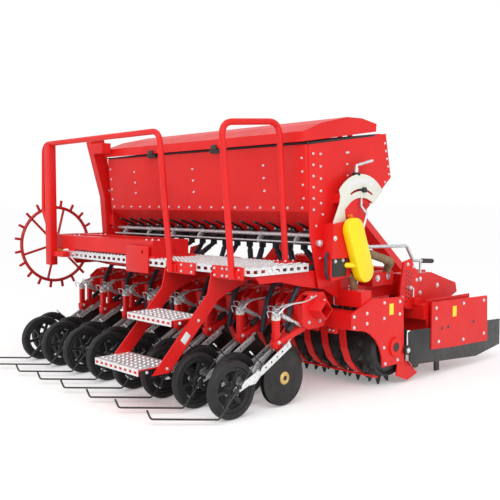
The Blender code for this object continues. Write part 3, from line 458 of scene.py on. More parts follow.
def bolts(name, places, radius=0.0075, finish=None, way="+X"):
    """Bolt heads on a face, one for each place."""
    turn = {"+X": Matrix.Identity(4), "-X": Matrix.Rotation(math.pi, 4, "Z"),
            "+Y": Matrix.Rotation(math.pi / 2, 4, "Z"), "-Y": Matrix.Rotation(-math.pi / 2, 4, "Z"),
            "+Z": Matrix.Rotation(-math.pi / 2, 4, "Y")}[way]
    row = copies(name, bolt_head(radius), [Matrix.Translation(at(*p)) @ turn for p in places])
    return dress(row, name, finish or BOLT)


print("workshop ready")

# %% [markdown]
# # Press wheels
# Each row is closed by a narrow rubber press wheel on a moulded rim with open spokes. A wheel is
# turned work, so the tyre and rim come from half a section spun round the axle. The spokes could
# be cut out of a full web, but six bevelled bars between two rings show the same gaps more simply.

# %% Press wheel pattern
def wheel_pattern():
    """Tyre and rim of one wheel, about the origin."""
    r = WHEEL_RADIUS
    tyre = turned([(r - 0.037, 0.017), (r - 0.034, 0.0225), (r - 0.020, 0.0250),
                   (r - 0.010, 0.0248), (r - 0.0035, 0.0215), (r - 0.0008, 0.0150),
                   (r, 0.0080), (r - 0.0012, 0.0060),
                   (r - 0.0012, 0.0045), (r, 0.0035)], 72)
    ring = turned([(r - 0.0365, 0.0165), (r - 0.042, 0.0195), (r - 0.047, 0.0190),
                   (r - 0.050, 0.0130), (r - 0.058, 0.0105)], 60)
    hub = turned([(0.0101, 0.0262), (0.017, 0.0272), (0.030, 0.0265), (0.0335, 0.0235),
                  (0.0350, 0.0140), (0.040, 0.0120)], 40)
    spokes = []
    for number in range(6):
        angle = math.radians(60 * number + 12)
        way = Vector((0, math.cos(angle), math.sin(angle)))
        spokes.append(bar(way * 0.028, way * (r - 0.052), 0.016, 0.022, 0.004))
    nuts = copies("nuts", bolt_head(0.005, 0.004), [
        Matrix.Translation((0.0235, 0.024 * math.cos(a), 0.024 * math.sin(a)))
        for a in [math.radians(60 * i + 42) for i in range(6)]])
    return tyre, merged("rim", [ring, hub] + spokes + [nuts])


tyre_pattern, rim_pattern = wheel_pattern()
wheels = [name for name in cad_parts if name.startswith("press_wheel_")]
for name in sorted(wheels):
    place = Matrix.Translation(centre(name))
    turn = Matrix.Rotation(math.radians(17 * (len(name) + int(name[-1]) * 3)), 4, "X")
    dress(copies(name + "_tyre", tyre_pattern, [place], keep=True), name + "_tyre", TYRE, name,
          (name,))
    dress(copies(name + "_rim", rim_pattern, [place @ turn], keep=True), name + "_rim", RIM, name)
bpy.data.objects.remove(tyre_pattern)
bpy.data.objects.remove(rim_pattern)
print("press wheels", len(wheels))

# %% [markdown]
# # Opener discs
# Two thin blackened discs run side by side and open the slot for the seed. Each has a ground
# cutting edge and a passivated hub with a black cap. A turned section gives the slight dish and
# the ground bevel in one go, which a flat cylinder can't.

# %% Opener disc pattern
disc_low, disc_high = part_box("opener_discs_rear_1")
DISC_RADIUS = (disc_high[2] - disc_low[2]) / 2


def disc_pattern():
    """Both discs, hub flanges and caps, about the origin."""
    r = DISC_RADIUS
    plates = []
    flanges = []
    caps = []
    for side in (1, -1):
        blade = turned([(0.0, side * 0.0235), (0.050, side * 0.0225), (0.062, side * 0.0200),
                        (r - 0.014, side * 0.0190), (r, side * 0.0160), (r, side * 0.0153),
                        (0.062, side * 0.0158), (0.0, side * 0.0170)], 96, mirrored=False)
        plates.append(blade)
        flanges.append(turned([(0.0, side * 0.0245), (0.020, side * 0.0285),
                               (0.024, side * 0.0285), (0.027, side * 0.0262),
                               (0.036, side * 0.0258), (0.038, side * 0.0240),
                               (0.038, side * 0.0225), (0.0, side * 0.0225)], 48, mirrored=False))
        caps.append(turned([(0.0, side * 0.0288), (0.012, side * 0.0286), (0.0165, side * 0.0270),
                            (0.0185, side * 0.0240), (0.0, side * 0.0240)], 32, mirrored=False))
        rivets = copies("rivets", bolt_head(0.0028, 0.0018), [
            Matrix.Translation((side * 0.0255, 0.0315 * math.cos(a), 0.0315 * math.sin(a)))
            @ Matrix.Rotation(0 if side > 0 else math.pi, 4, "Z")
            for a in [math.radians(60 * i) for i in range(6)]])
        flanges.append(rivets)
    core = rod((-0.0165, 0, 0), (0.0165, 0, 0), 0.0415, 32, 0.001)
    return merged("blades", plates + [core]), merged("flange", flanges), merged("cap", caps)


blade_pattern, flange_pattern, cap_pattern = disc_pattern()
discs = [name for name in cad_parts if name.startswith("opener_discs_")]
for name in sorted(discs):
    place = [Matrix.Translation(centre(name))]
    dress(copies("d", blade_pattern, place, keep=True), name + "_blades", DISC_STEEL, name,
          (name,))
    dress(copies("d", flange_pattern, place, keep=True), name + "_hub", BRASS, name)
    dress(copies("d", cap_pattern, place, keep=True), name + "_cap", RIM, name)
for pattern in (blade_pattern, flange_pattern, cap_pattern):
    bpy.data.objects.remove(pattern)
print("opener discs", len(discs))

# %% [markdown]
# # Coulter units
# Sixteen equal units hang on a square rail: a clamp, a sloping arm, an upright adjusting post with
# a white cap, the holder between the discs and two zinc plates that carry the press wheel. One
# unit is modelled about X = 0 and copied to its rows, because the real ones are identical too.

# %% Rail
RAIL_Y, RAIL_Z, RAIL_SIDE, RAIL_WALL = 0.654, 0.558, 0.086, 0.007
rail = bar(at(-1.30, RAIL_Y, RAIL_Z), at(1.22, RAIL_Y, RAIL_Z), RAIL_SIDE, RAIL_SIDE, 0.004)
rail_turn = Matrix.Rotation(math.pi / 4, 4, "X")
pivot = Matrix.Translation(at(0, RAIL_Y, RAIL_Z))
rail.data.transform(pivot @ rail_turn @ pivot.inverted())
bore = RAIL_SIDE - 2 * RAIL_WALL
hollow = bar(at(-1.40, RAIL_Y, RAIL_Z), at(1.40, RAIL_Y, RAIL_Z), bore, bore, 0)
hollow.data.transform(pivot @ rail_turn @ pivot.inverted())
cut(rail, [hollow])
dress(rail, "coulter_rail", RED, MAIN, ("coulter_bank",))
print("rail", [round(v, 3) for v in rail.dimensions])


# %% Unit pattern
REAR_X = [(i - 3.5) * 2 * PITCH for i in range(8)]
FRONT_X = [x - PITCH for x in REAR_X]
ROW_STAGGER = 0.16
ROW_SETS = (("rear", 0.0, REAR_X), ("front", ROW_STAGGER, FRONT_X))
DISC_AHEAD = 0.40
POST_AHEAD = DISC_AHEAD - 0.05


def flat_strip(points, width):
    """Outline of a bent flat bar."""
    left, right = [], []
    points = [Vector(p) for p in points]
    for index, point in enumerate(points):
        along = (points[min(index + 1, len(points) - 1)] - points[max(index - 1, 0)]).normalized()
        side = Vector((-along.y, along.x)) * width / 2
        left.append(tuple(point + side))
        right.append(tuple(point - side))
    return left + right[::-1]


def ring_outline(y, z, radius, steps=28):
    return [(y + radius * math.cos(2 * math.pi * i / steps),
             z + radius * math.sin(2 * math.pi * i / steps)) for i in range(steps)]


def unit_red(axle):
    """Painted pieces of one unit."""
    disc = axle + DISC_AHEAD
    post = axle + POST_AHEAD
    pieces = [
        block(at(-0.016, post - 0.018, 0.360), at(0.016, post + 0.018, 0.520), 0.003),
        block(at(-0.020, post - 0.024, 0.352), at(0.020, post + 0.002, 0.392), 0.003),
        plate([(post, 0.402), (disc + 0.048, 0.388), (disc + 0.034, 0.235), (disc - 0.034, 0.235)],
              0, 0.012),
    ]
    for side in (-1, 1):
        pieces.append(plate([(post - 0.022, 0.372), (post - 0.022, 0.400), (post + 0.02, 0.408),
                             (0.585, 0.468), (0.585, 0.436), (post + 0.03, 0.376)],
                            side * 0.022, 0.006))
        pieces.append(plate([(0.544, 0.462), (0.536, 0.600), (0.600, 0.650), (0.654, 0.660),
                             (0.733, 0.655), (0.802, 0.560), (0.733, 0.442), (0.600, 0.436)],
                            side * 0.030, 0.007))
    pieces.append(block(at(-0.028, 0.540, 0.468), at(0.028, 0.548, 0.590), 0.002))
    pieces.append(block(at(-0.028, 0.600, 0.640), at(0.028, 0.720, 0.652), 0.002))
    ring = plate(ring_outline(disc, 0.170, 0.058), 0, 0.014)
    eye_hole = rod(at(-0.05, disc, 0.170), at(0.05, disc, 0.170), 0.0435, 32, 0)
    pieces.append(cut(ring, [eye_hole]))
    return merged("unit_red", pieces)


def unit_arms(axle):
    """The two zinc plates that carry the press wheel, with their row of square holes."""
    post = axle + POST_AHEAD
    outline = flat_strip([(post + 0.085, 0.372), (axle + 0.20, 0.243), (axle + 0.075, 0.192),
                          (axle - 0.003, 0.164)], 0.040)
    pieces = []
    for side in (-1, 1):
        arm = plate(outline, side * 0.036, 0.0048, 0.001)
        holes = []
        for step in range(5):
            t = 0.10 + 0.19 * step
            y = post + 0.085 + (axle + 0.20 - post - 0.085) * t
            z = 0.372 + (0.243 - 0.372) * t
            holes.append(block(at(side * 0.036 - 0.01, y - 0.006, z - 0.006),
                               at(side * 0.036 + 0.01, y + 0.006, z + 0.006), 0,
                               (math.radians(28), 0, 0)))
        pieces.append(cut(arm, holes))
        pieces.append(plate([(axle + 0.12, 0.215), (axle + 0.17, 0.262), (axle + 0.205, 0.232),
                             (axle + 0.150, 0.182), (axle + 0.10, 0.178)],
                            side * 0.0365, 0.0052, 0.001))
    pieces.append(rod(at(-0.037, axle, WHEEL_RADIUS), at(0.037, axle, WHEEL_RADIUS), 0.0095))
    pieces.append(rod(at(-0.037, post + 0.06, 0.362), at(0.037, post + 0.06, 0.362), 0.009))
    return merged("unit_arms", pieces)


def wave(start, end, rise, count=14):
    """A gently waved lever between two points."""
    start, end = Vector(start), Vector(end)
    points = []
    for step in range(count + 1):
        t = step / count
        point = start.lerp(end, t)
        point.z += rise * math.sin(2 * math.pi * t * 1.1)
        points.append(point)
    return points


def unit_bright(axle):
    """Plated levers, spindle, pins and nuts of one unit."""
    post = axle + POST_AHEAD
    pieces = []
    for side, lift in ((-1, 0.0), (1, 0.012)):
        pieces.append(tube(wave(at(side * 0.026, post + 0.030, 0.572 + lift),
                                at(side * 0.034, post + 0.315, 0.622 + lift), 0.007), 0.0052, 2))
        pieces.append(rod(at(side * 0.020, post - 0.010, 0.545),
                          at(side * 0.030, post + 0.034, 0.574 + lift), 0.006, 12))
    pieces.append(rod(at(0.0, post + 0.045, 0.540), at(0.0, axle + DISC_AHEAD + 0.185, 0.452),
                      0.011, 16))
    pieces.append(rod(at(0.0, post + 0.050, 0.538), at(0.0, post + 0.115, 0.507), 0.0145, 16))
    pieces.append(rod(at(-0.030, post - 0.004, 0.548), at(0.030, post - 0.004, 0.548), 0.006, 12))
    pieces.append(rod(at(-0.034, post + 0.020, 0.562), at(0.034, post + 0.020, 0.562), 0.006, 12))
    pieces.append(tube(rounded([at(-0.030, post - 0.030, 0.530), at(-0.030, post - 0.048, 0.572),
                                at(0.030, post - 0.048, 0.572), at(0.030, post - 0.030, 0.530)],
                               0.015, 3), 0.0032, 2))
    pieces.append(tube(rounded([at(0.028, post - 0.028, 0.530), at(0.040, post - 0.052, 0.548),
                                at(0.046, post - 0.030, 0.560), at(0.040, post - 0.008, 0.545)],
                               0.01, 3), 0.0030, 2))
    for y, z in ((post + 0.0, 0.388), (post + 0.06, 0.362), (axle, WHEEL_RADIUS), (0.60, 0.480),
                 (0.70, 0.480), (0.62, 0.63), (0.74, 0.60)):
        reach = 0.0385 if y < post + 0.1 else 0.0335
        if abs(y - post) < 0.001:
            reach = 0.0255
        for side in (1, -1):
            pieces.append(copies("nut", bolt_head(0.0085, 0.006), [
                Matrix.Translation(at(side * reach, y, z))
                @ Matrix.Rotation(0 if side > 0 else math.pi, 4, "Z")]))
    pieces.append(block(at(-0.012, 0.575, 0.440), at(0.012, 0.640, 0.456), 0.002))
    return merged("unit_bright", pieces)


def unit_cap(axle):
    """White cap on the adjusting post."""
    post = axle + POST_AHEAD
    cap = block(at(-0.0185, post - 0.0205, 0.515), at(0.0185, post + 0.0205, 0.542), 0.004)
    neck = rod(at(0, post, 0.540), at(0, post, 0.556), 0.010, 20)
    return merged("unit_cap", [cap, neck])


def unit_black(axle):
    """Black spring box in front of the post, tine clamp and wheel hub cap."""
    post = axle + POST_AHEAD
    pieces = [
        rod(at(0, post + 0.095, 0.440), at(0, post + 0.150, 0.480), 0.016, 16),
        rod(at(0.0405, axle, WHEEL_RADIUS), at(0.050, axle, WHEEL_RADIUS), 0.019, 24, 0.003),
        block(at(0.0400, axle + 0.004, 0.172), at(0.0500, axle + 0.034, 0.196), 0.002),
    ]
    return merged("unit_black", pieces)


def lay_out(name, maker, finish, rows=("rear", "front")):
    """Copy one pattern to every unit of its rows."""
    made = []
    for row, axle, places in ROW_SETS:
        if row in rows:
            pattern = maker(axle)
            made.append(copies(name, pattern, [shift(x, 0, 0) for x in places]))
    return dress(merged(name, made), name, finish)


lay_out("coulter_castings", unit_red, RED)
lay_out("press_wheel_arms", unit_arms, ZINC)
lay_out("coulter_levers", unit_bright, STEEL)
lay_out("coulter_caps", unit_cap, WHITE)
lay_out("coulter_fittings", unit_black, RIM)
arms = [block(at(x - 0.04, 0.684, 0.533), at(x + 0.04, 0.9297, 0.593), 0.003)
        for x in (-0.72, -0.10, 0.80)]
dress(merged("rail_arms", arms), "rail_arms", RED)
print("coulter units", len(REAR_X) + len(FRONT_X))

# %% [markdown]
# # Harrow tines
# Behind each rear wheel a spring wire sweeps soil over the row. It is one bent round wire, so a
# swept path with small corner radii says everything about it.

# %% Harrow tines
def unit_tine(axle):
    wire_path = rounded([at(0.0455, axle + 0.018, 0.184), at(0.0455, axle - 0.130, 0.033),
                         at(-0.205, axle - 0.400, 0.036), at(-0.235, axle - 0.405, 0.080)],
                        0.022, 5)
    return tube(wire_path, 0.0058, 3)


lay_out("covering_tines", unit_tine, BLACK_PAINT, ("rear",))


def unit_tine_lever(axle):
    """Small cranked lever with a white tip, and the rod it works."""
    lever = tube(rounded([at(0.046, axle + 0.104, 0.368), at(0.046, axle + 0.193, 0.284),
                          at(0.046, axle + 0.175, 0.250)], 0.02, 4), 0.0040, 2)
    link = tube([at(0.046, axle + 0.147, 0.308), at(0.046, axle + 0.03, 0.190)], 0.0034, 2)
    return merged("tine_lever", [lever, link])


lay_out("tine_levers", unit_tine_lever, BLACK_PAINT, ("rear",))


def unit_tip(axle):
    return tube([at(0.046, axle + 0.0975, 0.3735), at(0.046, axle + 0.118, 0.3555)], 0.0050, 2)


lay_out("tine_lever_tips", unit_tip, WHITE, ("rear",))
print("tines", len(REAR_X))

# %% [markdown]
# # Packer roller
# A closed drum carries sixteen rings of pointed teeth that press the soil between the rows. The
# rings are cut from plate, so one toothed outline is made and copied along the drum, while the
# drum itself is turned.

# %% Roller
ROLLER_Y, ROLLER_Z = 1.27, 0.262
drum = turned([(0.031, 1.236), (0.150, 1.236), (0.176, 1.215), (0.190, 1.2320),
               (0.1955, 1.2320)], 96)
drum.data.transform(Matrix.Translation(at(0, ROLLER_Y, ROLLER_Z)))
shaft = rod(at(-1.29, ROLLER_Y, ROLLER_Z), at(1.29, ROLLER_Y, ROLLER_Z), 0.029, 32)
dress(merged("roller_drum", [drum, shaft]), "roller_drum", BLACK_PAINT, "packer_roller",
      ("packer_roller",))
TEETH = 16
tooth_outline = []
for tooth in range(TEETH):
    for share, reach in ((0.0, 0.206), (0.20, 0.211), (0.42, 0.240), (0.60, 0.2615), (0.66, 0.2615),
                         (0.74, 0.236), (0.84, 0.211)):
        angle = 2 * math.pi * (tooth + share) / TEETH
        tooth_outline.append((ROLLER_Y + reach * math.cos(angle),
                              ROLLER_Z + reach * math.sin(angle)))
ring_pattern = plate(tooth_outline, 0, 0.012, 0.001)
steps = []
for ring in range(ROWS):
    x = (ring - (ROWS - 1) / 2) * PITCH
    swing = (Matrix.Translation(at(0, ROLLER_Y, ROLLER_Z))
             @ Matrix.Rotation(math.radians(9.5 * (ring % 3)), 4, "X")
             @ Matrix.Translation(-at(0, ROLLER_Y, ROLLER_Z)))
    steps.append(shift(x, 0, 0) @ swing)
dress(copies("tooth_rings", ring_pattern, steps), "tooth_rings", DISC_STEEL, "packer_roller")
end_bolts = [(1.2365, ROLLER_Y + 0.115 * math.cos(math.radians(45 * i)),
              ROLLER_Z + 0.115 * math.sin(math.radians(45 * i))) for i in range(8)]
row = copies("drum_bolts", bolt_head(0.007), [Matrix.Translation(at(*p)) for p in end_bolts])
dress(row, "drum_bolts", BLACK_PAINT, "packer_roller")
print("tooth rings", ROWS)

# %% [markdown]
# # Roller side plates, scrapers and beam
# The side plates are bolted on with zinc plated bolts. Each scraper is held by a small clamp with
# two bolts, one across and one from behind. The bolts are one pattern, copied to every place.

# %% Fasteners round the roller
PLATE_BOLTS = [(0.845, 0.504), (0.845, 0.437), (0.972, 0.512), (0.972, 0.448), (1.150, 0.562),
               (1.150, 0.462), (1.318, 0.556), (1.318, 0.474), (1.150, 0.272), (1.285, 0.282),
               (1.165, 0.165), (1.300, 0.172)]
bolts("roller_plate_bolts_right", [(1.276, y, z) for y, z in PLATE_BOLTS], 0.0085)
bolts("roller_plate_bolts_left", [(-1.276, y, z) for y, z in PLATE_BOLTS], 0.0085, way="-X")
clamps = []
clamp_bolts = []
lower_bolts = []
for gap in range(ROWS - 1):
    x = (gap - (ROWS - 2) / 2) * PITCH
    clamps.append(block(at(x - 0.030, 0.876, 0.418), at(x + 0.030, 0.926, 0.4235), 0.001))
    clamps.append(block(at(x - 0.034, 0.846, 0.378), at(x + 0.034, 0.876, 0.424), 0.004))
    clamp_bolts += [(x - 0.016, 0.846, 0.400), (x + 0.016, 0.846, 0.400)]
    lower_bolts.append((x, 1.1065, 0.096))
dress(merged("scraper_clamps", clamps), "scraper_clamps", RED)
bolts("scraper_bolts", clamp_bolts, 0.0065, way="-Y")
dress(rod(at(-1.262, 1.098, 0.087), at(1.262, 1.098, 0.087), 0.007, 16), "scraper_rod", RED)
bolts("scraper_tip_bolts", lower_bolts, 0.005, way="-Y")
boss = rod(at(1.245, 1.388, 0.225), at(1.300, 1.388, 0.225), 0.030, 28, 0.004)
arm = block(at(1.262, 1.388, 0.196), at(1.282, 1.440, 0.250), 0.004)
dress(merged("deflector_pivot", [boss, arm]), "deflector_pivot", BLACK_PAINT)
bolts("deflector_pivot_bolt", [(1.300, 1.388, 0.225)], 0.013)
dress(block(at(1.2758, 1.205, 0.478), at(1.2768, 1.250, 0.550), 0.0003), "side_sign", SIGN)
print("roller fasteners", 2 * len(PLATE_BOLTS) + len(clamp_bolts))

# %% [markdown]
# # Harrow sides
# Along each side of the harrow runs a black rubber-faced deflector that keeps soil in the swath,
# behind a red bolted side plate. The depth plate beside it has two columns of pin holes. Holes are
# short dark studs set into the plate, painted shade that stands for the dark inside of each hole,
# since only their mouths are ever seen.

# %% Deflectors and side plates
DEFLECTOR = [(1.409, 0.149), (1.3955, 0.341), (1.4295, 0.3535), (2.6065, 0.3055), (2.6075, 0.109),
             (2.257, 0.0635), (1.520, 0.1145), (1.480, 0.0935)]
for side, label in ((1, "right"), (-1, "left")):
    dress(plate(DEFLECTOR, side * 1.292, 0.0092, 0.0012), "deflector_" + label, BLACK_PAINT)
side_bolts = [(1.705, 0.478), (1.705, 0.405), (1.740, 0.240), (2.060, 0.478), (2.340, 0.475),
              (2.350, 0.225), (2.060, 0.215)]
bolts("harrow_side_bolts_right", [(1.305, y, z) for y, z in side_bolts], 0.0095)
bolts("harrow_side_bolts_left", [(-1.305, y, z) for y, z in side_bolts], 0.0095, way="-X")
# The dark studs below are painted shade: each stands for the shadowed inside of a pin hole.
holes = []
for column, y in enumerate((1.545, 1.575, 1.605)):
    for step in range(8 - column):
        z = 0.735 - 0.030 * step - 0.012 * column
        for side in (1, -1):
            holes.append(rod(at(side * 1.1565, y, z), at(side * 1.1675, y, z), 0.0075, 14, 0.0005))
for y, z in ((1.78, 0.33), (1.86, 0.33), (2.20, 0.33)):
    for side in (1, -1):
        holes.append(rod(at(side * 1.300, y, z), at(side * 1.3056, y, z), 0.013, 18, 0.0005))
dress(merged("pin_hole_shade", holes), "pin_hole_shade", BLACK_PAINT)
bolts("depth_plate_bolts", [(1.167, 1.560, 0.780), (1.167, 1.630, 0.760), (1.167, 1.500, 0.555),
                            (1.167, 1.665, 0.665)], 0.010)
dress(block(at(1.3048, 1.915, 0.395), at(1.3060, 1.965, 0.470), 0.0003), "harrow_sign", SIGN)
pins = []
for side in (1, -1):
    pins.append(rod(at(side * 1.125, 1.560, 0.620), at(side * 1.200, 1.560, 0.620), 0.013, 20))
    pins.append(tube(rounded([at(side * 1.200, 1.560, 0.620), at(side * 1.215, 1.560, 0.620),
                              at(side * 1.215, 1.560, 0.560)], 0.012, 4), 0.005))
dress(merged("depth_pins", pins), "depth_pins", BOLT)
print("harrow side bolts", 2 * len(side_bolts))

# %% [markdown]
# # Gearbox and power take-off
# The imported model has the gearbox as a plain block. A real one is a ribbed casting with a round
# cover and an input flange, which a few turned pieces on top of the block bring back.

# %% Gearbox details
casting = [
    rod(at(0, 1.86, 0.738), at(0, 1.86, 0.775), 0.135, 40, 0.006),
    rod(at(0, 1.86, 0.774), at(0, 1.86, 0.788), 0.060, 32, 0.004),
    rod(at(0, 2.025, 0.630), at(0, 2.060, 0.630), 0.080, 36, 0.005),
]
for x in (-0.15, -0.05, 0.05, 0.15):
    casting.append(block(at(x - 0.006, 1.678, 0.500), at(x + 0.006, 1.692, 0.722), 0.002))
dress(merged("gearbox_covers", casting), "gearbox_covers", RED)
bolts("gearbox_bolts", [(0.112 * math.cos(math.radians(45 * i)),
                         1.86 + 0.112 * math.sin(math.radians(45 * i)), 0.775) for i in range(8)],
      0.007, way="+Z")
guard = turned([(0.050, 0.045), (0.072, 0.050), (0.075, 0.045)], 40)
guard.data.transform(Matrix.Translation(at(0, 2.10, 0.63)) @ Matrix.Rotation(math.pi / 2, 4, "Z"))
dress(guard, "shaft_guard", BLACK_PAINT)
bolts("beam_bolts", [(1.005, y, 0.681) for y in (1.345, 1.425, 1.505)], 0.012, way="+Z")
bracket_holes = ((1.66, 0.66), (1.78, 0.66), (1.66, 0.56), (1.78, 0.56), (2.00, 0.60))
bolts("bracket_bolts", [(1.1205, y, z) for y, z in bracket_holes], 0.013)
print("gearbox done")

# %% [markdown]
# # Hopper fittings
# The hopper is folded from sheet and bolted to its end panels. Rows of zinc plated bolts follow
# the edges, a black seal runs under the lid, and two black latches hold the lid down.

# %% Hopper bolts
PANEL = 1.0905


def line_of(start, end, count):
    return [(start[0] + (end[0] - start[0]) * i / (count - 1),
             start[1] + (end[1] - start[1]) * i / (count - 1)) for i in range(count)]


panel_bolts = (line_of((0.668, 1.500), (0.676, 1.160), 6)
               + line_of((0.735, 1.500), (0.742, 1.200), 5)
               + line_of((0.700, 1.060), (0.735, 0.860), 3)
               + line_of((0.985, 1.520), (1.010, 1.230), 5)
               + [(1.000, 1.522), (1.022, 1.232), (1.030, 1.205)]
               + line_of((1.384, 1.600), (1.432, 1.395), 5)
               + line_of((1.390, 1.340), (1.225, 1.200), 4)
               + [(0.760, 1.130), (0.800, 1.065), (0.815, 1.010)])
bolts("panel_bolts_right", [(PANEL, y, z) for y, z in panel_bolts], 0.0062)
bolts("panel_bolts_left", [(-PANEL, y, z) for y, z in panel_bolts], 0.0062, way="-X")

# The rear sheet leans, so its bolts follow the line from its fold up to the lid.
REAR_LOW, REAR_HIGH = Vector((0.631, 1.148)), Vector((0.600, 1.553))


def on_rear(x, share, out=0.0005):
    spot = REAR_LOW.lerp(REAR_HIGH, share)
    return (x, spot.x - out, spot.y)


rear_bolts = [on_rear(-1.04 + 2.08 * i / 17, 0.055) for i in range(18)]
for x in (-0.72, 0.0, 0.72):
    rear_bolts += [on_rear(x, share) for share in (0.32, 0.52, 0.72)]
for x in (-1.055, 1.055):
    rear_bolts += [on_rear(x, share) for share in (0.2, 0.4, 0.6, 0.8)]
bolts("rear_sheet_bolts", rear_bolts, 0.0062, way="-Y")
print("hopper bolts", 2 * len(panel_bolts) + len(rear_bolts))

# %% Seal and latches
seal = [bar(at(-1.086, 0.5965, 1.5605), at(1.086, 0.5965, 1.5605), 0.008, 0.009, 0.002)]
for side in (1, -1):
    seal.append(bar(at(side * 1.088, 0.610, 1.558), at(side * 1.088, 1.270, 1.648),
                    0.006, 0.014, 0.001))
dress(merged("lid_seal", seal), "lid_seal", TYRE)
latch_parts = []
for x in (-0.45, 0.28):
    latch_parts.append(block(at(x - 0.045, 0.5680, 1.536), at(x + 0.045, 0.6010, 1.562), 0.005))
    latch_parts.append(block(at(x - 0.028, 0.5600, 1.556), at(x + 0.028, 0.5715, 1.592), 0.004))
    latch_parts.append(rod(at(x - 0.040, 0.5690, 1.549), at(x + 0.040, 0.5690, 1.549), 0.007, 16))
dress(merged("lid_latches", latch_parts), "lid_latches", BLACK_PAINT)
print("latches 2")

# %% [markdown]
# # Metering line
# Under the hopper sixteen metering slides feed the tubes. Each has a black housing, a lever with a
# blunt tip and a bolt, and all hang on one round shaft. A second thin rail locks the levers.

# %% Metering slides
housing = []
slide_tips = []
slide_pins = []
pitch = 2 * 1.06 / (ROWS + 0.3)
for number in range(ROWS):
    x = (number - (ROWS - 1) / 2) * pitch
    housing.append(block(at(x - 0.032, 0.742, 0.998), at(x + 0.032, 0.806, 1.050), 0.006))
    housing.append(rod(at(x - 0.040, 0.752, 1.010), at(x + 0.040, 0.752, 1.010), 0.017, 20))
    housing.append(bar(at(x + 0.030, 0.755, 1.030), at(x + 0.034, 0.640, 1.072),
                       0.005, 0.016, 0.001))
    housing.append(bar(at(x - 0.030, 0.760, 1.000), at(x - 0.028, 0.668, 0.962),
                       0.005, 0.014, 0.001))
    slide_tips.append(rod(at(x + 0.034, 0.645, 1.070), at(x + 0.034, 0.618, 1.079),
                          0.0085, 14, 0.002))
    slide_pins += [(x - 0.018, 0.742, 1.034), (x + 0.018, 0.742, 1.034)]
dress(merged("metering_slides", housing), "metering_slides", RIM)
dress(merged("slide_tips", slide_tips), "slide_tips", BLACK_PAINT)
bolts("slide_bolts", slide_pins, 0.0045, way="-Y")
rails = [rod(at(-1.083, 0.700, 1.0), at(1.083, 0.700, 1.0), 0.0125, 24),
         rod(at(-1.083, 0.664, 0.957), at(1.083, 0.664, 0.957), 0.0055, 16)]
for x in (-0.95, -0.62, -0.32, 0.0, 0.32, 0.62, 0.95):
    rails.append(plate([(0.650, 0.945), (0.650, 0.972), (0.690, 1.018), (0.712, 1.018),
                        (0.716, 0.990), (0.680, 0.945)], x, 0.004, 0.001))
dress(merged("metering_shaft", rails), "metering_shaft", STEEL)
print("metering slides", ROWS)


# %% [markdown]
# # Seed tubes
# Each outlet has a ribbed rubber spout and a smooth tube down to its coulter. The tubes are held
# at both ends and hang stiffly between, so they are swept along fixed paths.

# %% Seed tubes
def ribbed(path, radius, pitch_length, rib, share=(0.0, 1.0)):
    """Rings along a path, for a corrugated hose."""
    lengths = [0.0]
    for a, b in zip(path, path[1:]):
        lengths.append(lengths[-1] + (b - a).length)
    total = lengths[-1]
    rings = []
    place = total * share[0]
    while place < total * share[1]:
        index = max(i for i, length in enumerate(lengths[:-1]) if length <= place)
        part = (place - lengths[index]) / max(lengths[index + 1] - lengths[index], 1e-6)
        spot = path[index].lerp(path[index + 1], part)
        way = (path[index + 1] - path[index]).normalized() * pitch_length * 0.28
        rings.append(rod(spot - way, spot + way, radius + rib, 14, pitch_length * 0.12))
        place += pitch_length
    return rings


spouts = []
tubes = []
tube_rows = sorted([(x, 0) for x in REAR_X] + [(x, 1) for x in FRONT_X])
for index, (x, front_row) in enumerate(tube_rows):
    start_x = (index - (ROWS - 1) / 2) * pitch
    beside = x + 0.055
    if beside > 1.039:
        beside = x - 0.055
    inside = max(beside, -1.039)
    near = x + (beside - x) * 0.84
    if front_row:
        path = [(start_x, 0.86, 0.9297), (start_x, 0.86, 0.905), (inside, 0.830, 0.805),
                (inside, 0.805, 0.640), (beside, 0.795, 0.56), (beside, 0.720, 0.44),
                (near, 0.660, 0.385)]
    else:
        path = [(start_x, 0.86, 0.9297), (start_x, 0.86, 0.905), (beside, 0.760, 0.825),
                (beside, 0.590, 0.69), (beside, 0.535, 0.60), (beside, 0.505, 0.49),
                (near, 0.495, 0.395)]
    line = rounded([at(*p) for p in path], 0.10, 5)
    tubes.append(tube(line, 0.0165, 3))
    spouts.append(rod(at(start_x, 0.86, 0.929), at(start_x, 0.86, 0.895), 0.024, 20, 0.003))
    spouts += ribbed(line, 0.0165, 0.014, 0.0035, (0.10, 0.44))
dress(merged("seed_tubes_smooth", tubes), "seed_tubes_smooth", HOSE, MAIN, ("seed_tubes",))
dress(merged("seed_spouts", spouts), "seed_spouts", HOSE)
print("seed tubes", len(tube_rows))

# %% [markdown]
# # Walkway
# The walkway and the steps are folded from galvanised sheet with punched holes that shed mud and
# grip a boot. A grid is the quickest way to a punched pattern: every other face is inset, the
# middle is deleted, and thickness is added at the end.

